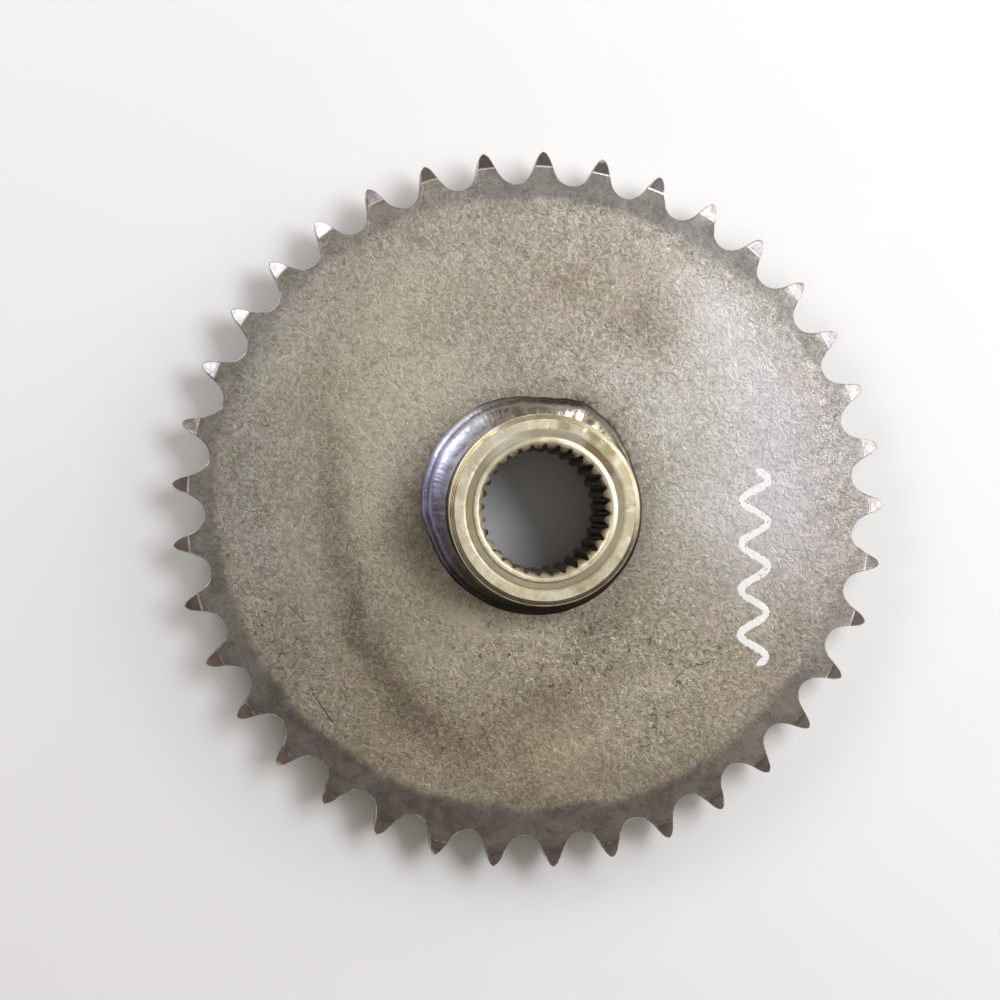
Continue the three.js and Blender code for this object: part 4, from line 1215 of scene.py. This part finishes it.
def weld_metal(name):
    """Fused metal: its tint by angle is in the attributes: heat tint, and on the front passes painted highlight and
    painted shade as well.
    """
    g = Graph(name)
    blot = g.noise(120.0, 4.0, 0.62, 0.6)
    shade = g.noise(38.0, 3.0, 0.6, 0.9)
    mott = g.noise(360.0, 3.0, 0.62, 0.5)
    u = g.attr("u")
    tint = g.node("ShaderNodeCombineXYZ", {0: g.attr("tr"), 1: g.attr("tg"), 2: g.attr("tb")}).outputs[0]
    col = g.mix(g.ramp(shade, 0.36, 0.64), tint, g.mix(1.0, tint, (0.74, 0.72, 0.76), "MULTIPLY"))
    col = g.mix(g.math("MULTIPLY", g.ramp(blot, 0.52, 0.68), 0.45), col, g.mix(1.0, col, (0.58, 0.56, 0.66), "MULTIPLY"))
    # painted highlight: small bright mottled flecks
    col = g.mix(g.math("MULTIPLY", g.ramp(mott, 0.58, 0.70), 0.45), col, g.mix(1.0, col, (1.7, 1.7, 1.78), "MULTIPLY"))
    # straw tint where the bead meets the machined barrel, burnt edge at the toe
    col = g.mix(g.math("MULTIPLY", g.ramp(g.math("ADD", u, g.math("MULTIPLY", g.math("SUBTRACT", blot, 0.5), 0.5)), 0.55, 0.95), 0.38), col, rgb(176, 164, 138))
    col = g.mix(g.math("MULTIPLY", g.ramp(u, 0.07, 0.0), 0.85), col, rgb(34, 31, 32))
    # painted shade: a dark band along the bead's edge next to the barrel
    col = g.mix(g.math("MULTIPLY", g.ramp(u, 0.915, 0.965), 0.86), col, rgb(30, 26, 25))
    # bare silver where the arc was started and stopped
    silver = g.math("ADD", g.attr("silver"), g.math("MULTIPLY", g.math("SUBTRACT", g.noise(420.0, 3.0), 0.5), 0.8))
    col = g.mix(g.math("MULTIPLY", g.ramp(silver, 0.42, 0.62), 0.9), col, rgb(238, 234, 224))
    skin = g.noise(210.0, 4.0, 0.62, 1.0)
    g.set(Base_Color=col, Metallic=0.95, Roughness=g.ramp(skin, 0.34, 0.66, 0.27, 0.46))
    g.bumps((skin, 0.20, 0.26), (mott, 0.12, 0.16), (g.noise(1100.0, 3.0), 0.10, 0.06))
    return g.mat


def marker_paint():
    g = Graph("marker_paint")
    grain = g.noise(620.0, 2.5, 0.62, 1.1)
    u = g.math("ABSOLUTE", g.attr("u"))
    thin = g.math("ADD", grain, g.math("MULTIPLY", g.ramp(u, 0.55, 1.0), -0.16))
    col = g.mix(g.ramp(thin, 0.30, 0.38), rgb(150, 142, 130), rgb(246, 246, 244))
    col = g.mix(g.math("MULTIPLY", g.ramp(g.noise(90.0, 3.0), 0.5, 0.7), 0.25), col, rgb(222, 220, 216))
    g.set(Base_Color=col, Metallic=0.0, Roughness=g.ramp(grain, 0.3, 0.7, 0.42, 0.58))
    g.bumps((grain, 0.5, 0.3))
    return g.mat


def pale_floor():
    g = Graph("pale_floor")
    n = g.noise(6.0, 3.0, 0.5)
    g.set(Base_Color=g.mix(g.ramp(n, 0.3, 0.7), (0.925, 0.925, 0.92), (0.94, 0.94, 0.935)), Roughness=0.7)
    g.bsdf.inputs["Specular IOR Level"].default_value = 0.2
    return g.mat


# ------------------------------------------------------------------ the pieces
edge_steel = worn_edge()
plate = plate_mesh([plate_scale(), edge_steel, turned_chamfer(), plate_bore(), tooth_flank(), worn_corner()])
hub = hub_mesh([turned_steel(), hub_barrel(), spline_steel()])


def front_wide(deg):
    return (toe_at(deg) - HUB_R - GAP) / (FRONT_TOE_R - HUB_R - GAP)


first_pass = bead(
    "front_weld_first_pass_body",
    [(61.0, 29.25), (60.8, 30.1), (60.2, 31.2), (59.2, 32.2), (57.9, 32.9), (56.6, 33.1), (55.2, 32.9)],
    [(52.0, 31.5), (52.0, 29.2), (58.0, 29.1)],
    [weld_metal("weld_first_pass")], front_wide, 0.07, 2.3, 510, 1, heat=TOE_HEAT_AND_LIGHT)
second_pass = bead(
    "front_weld_second_pass_body",
    [(57.2, 32.3), (57.9, 33.2), (57.4, 34.4), (56.3, 35.7), (54.7, 36.9), (52.7, 38.0), (50.6, 38.9), (48.8, 39.7)],
    [(48.8, 37.0), (50.5, 33.5), (54.5, 32.0)],
    [weld_metal("weld_second_pass")], front_wide, 0.07, 2.6, 610, 1, bare=1.0,
    lumps=[(67.0, 5.2, 0.42, 0.46, 1.55), (55.0, 6.0, 0.44, 0.5, 1.35), (61.4, 1.35, 0.42, 0.7, -2.1),
           (73.5, 2.6, 0.62, 0.3, 0.7), (77.5, 2.0, 0.70, 0.25, 0.45), (47.0, 3.4, 0.5, 0.4, 0.75),
           (70.2, 1.2, 0.6, 0.3, -0.6), (51.2, 1.1, 0.35, 0.3, -0.7), (43.0, 1.6, 0.5, 0.3, 0.4)])
rear_bead = bead(
    "rear_weld_bead_body",
    [(57.1, 12.35), (56.9, 11.3), (56.1, 9.8), (54.7, 8.2), (52.9, 6.6), (50.9, 5.2), (48.8, 4.0)],
    [(49.2, 6.5), (52.0, 12.3)],
    [weld_metal("weld_rear")], lambda d: 1.0 + 0.03 * noise(d / 40.0, 0, 0, 700), 0.12, 2.6, 720, -1, heat=REAR_HEAT)
stroke = paint_mesh([marker_paint()])

for piece, node, slot in (
        (plate, "sprocket_plate", "plate_scale"), (hub, "splined_hub", "hub_machined"),
        (first_pass, "front_weld_first_pass", "weld_metal"),
        (second_pass, "front_weld_second_pass", "weld_metal"),
        (rear_bead, "rear_weld_bead", "weld_metal")):
    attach(piece, ROOT)
    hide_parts(node)
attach(stroke, ROOT)


# ------------------------------------------------------------------ floor
def floor_mesh():
    me = bpy.data.meshes.new("floor")
    n, size = 8, 6.0
    c = [(-size + 2 * size * i / n, -size + 2 * size * j / n, 0.0) for j in range(n + 1) for i in range(n + 1)]
    f = [(j * (n + 1) + i, j * (n + 1) + i + 1, (j + 1) * (n + 1) + i + 1, (j + 1) * (n + 1) + i) for j in range(n) for i in range(n)]
    me.from_pydata(c, [], f)
    me.materials.append(pale_floor())
    ob = bpy.data.objects.new("floor", me)
    bpy.context.scene.collection.objects.link(ob)
    return ob


floor_mesh()

# ------------------------------------------------------------------ camera
R = Matrix(((0.9950028472, 0.0007856525, 0.0998434615),
            (-0.0007249171, 0.9999995297, -0.0006445848),
            (-0.0998439209, 0.0005689855, 0.9950029486)))
cam_data = bpy.data.cameras.new("camera")
cam_data.sensor_width = 36.0
cam_data.lens = 72.69
cam_data.clip_start = 0.05
cam_data.clip_end = 50.0
cam = bpy.data.objects.new("camera", cam_data)
bpy.context.scene.collection.objects.link(cam)
cam.matrix_world = Matrix.Translation(Vector((-0.128484, 0.0058296, 1.1221836))) @ R.transposed().to_4x4()
bpy.context.scene.camera = cam


# ------------------------------------------------------------------ light
def softbox(name, azimuth, elevation, distance, w, h, radiance, tint=(1, 1, 1)):
    """A rectangular light that faces the origin. radiance is its surface brightness."""
    a, e = math.radians(azimuth), math.radians(elevation)
    d = Vector((math.cos(a) * math.cos(e), math.sin(a) * math.cos(e), math.sin(e)))
    data = bpy.data.lights.new(name, "AREA")
    data.shape = "RECTANGLE"
    data.size, data.size_y = w, h
    data.energy = radiance * math.pi * w * h
    data.color = tint
    ob = bpy.data.objects.new(name, data)
    bpy.context.scene.collection.objects.link(ob)
    ob.location = d * distance
    ob.rotation_euler = (-d).to_track_quat("-Z", "Y").to_euler()
    return ob


softbox("key_right_top", 27, 57, 1.9, 1.15, 0.66, 7.8, (0.915, 0.945, 1.0))
softbox("window_left", 138, 33, 1.9, 1.25, 0.70, 4.2, (0.965, 0.97, 1.0))
softbox("window_right", 26, 24, 1.9, 2.0, 0.95, 2.8, (1.0, 0.985, 0.955))

world = bpy.data.worlds.new("studio")
bpy.context.scene.world = world
world.use_nodes = True
nt = world.node_tree
nt.nodes.clear()
tc = nt.nodes.new("ShaderNodeTexCoord")
sep = nt.nodes.new("ShaderNodeSeparateXYZ")
nt.links.new(tc.outputs["Generated"], sep.inputs[0])
ramp = nt.nodes.new("ShaderNodeValToRGB")
nt.links.new(sep.outputs[2], ramp.inputs[0])
els = ramp.color_ramp.elements
stops = [(0.0, 1.0, 0.97, 0.93), (0.18, 0.9, 0.87, 0.83), (0.33, 0.17, 0.135, 0.11), (0.80, 0.17, 0.14, 0.115),
         (0.93, 0.34, 0.325, 0.295), (1.0, 0.62, 0.60, 0.56)]
while len(els) < len(stops):
    els.new(0.5)
for el, (pos, *val) in zip(els, stops):
    el.position = pos
    el.color = (*val, 1.0)
bg = nt.nodes.new("ShaderNodeBackground")
nt.links.new(ramp.outputs[0], bg.inputs[0])
bg.inputs[1].default_value = 1.0
wo = nt.nodes.new("ShaderNodeOutputWorld")
nt.links.new(bg.outputs[0], wo.inputs[0])

bpy.context.scene.view_settings.view_transform = "Standard"
bpy.context.scene.view_settings.look = "None"
bpy.context.scene.view_settings.exposure = 0.0
bpy.context.scene.view_settings.gamma = 1.0
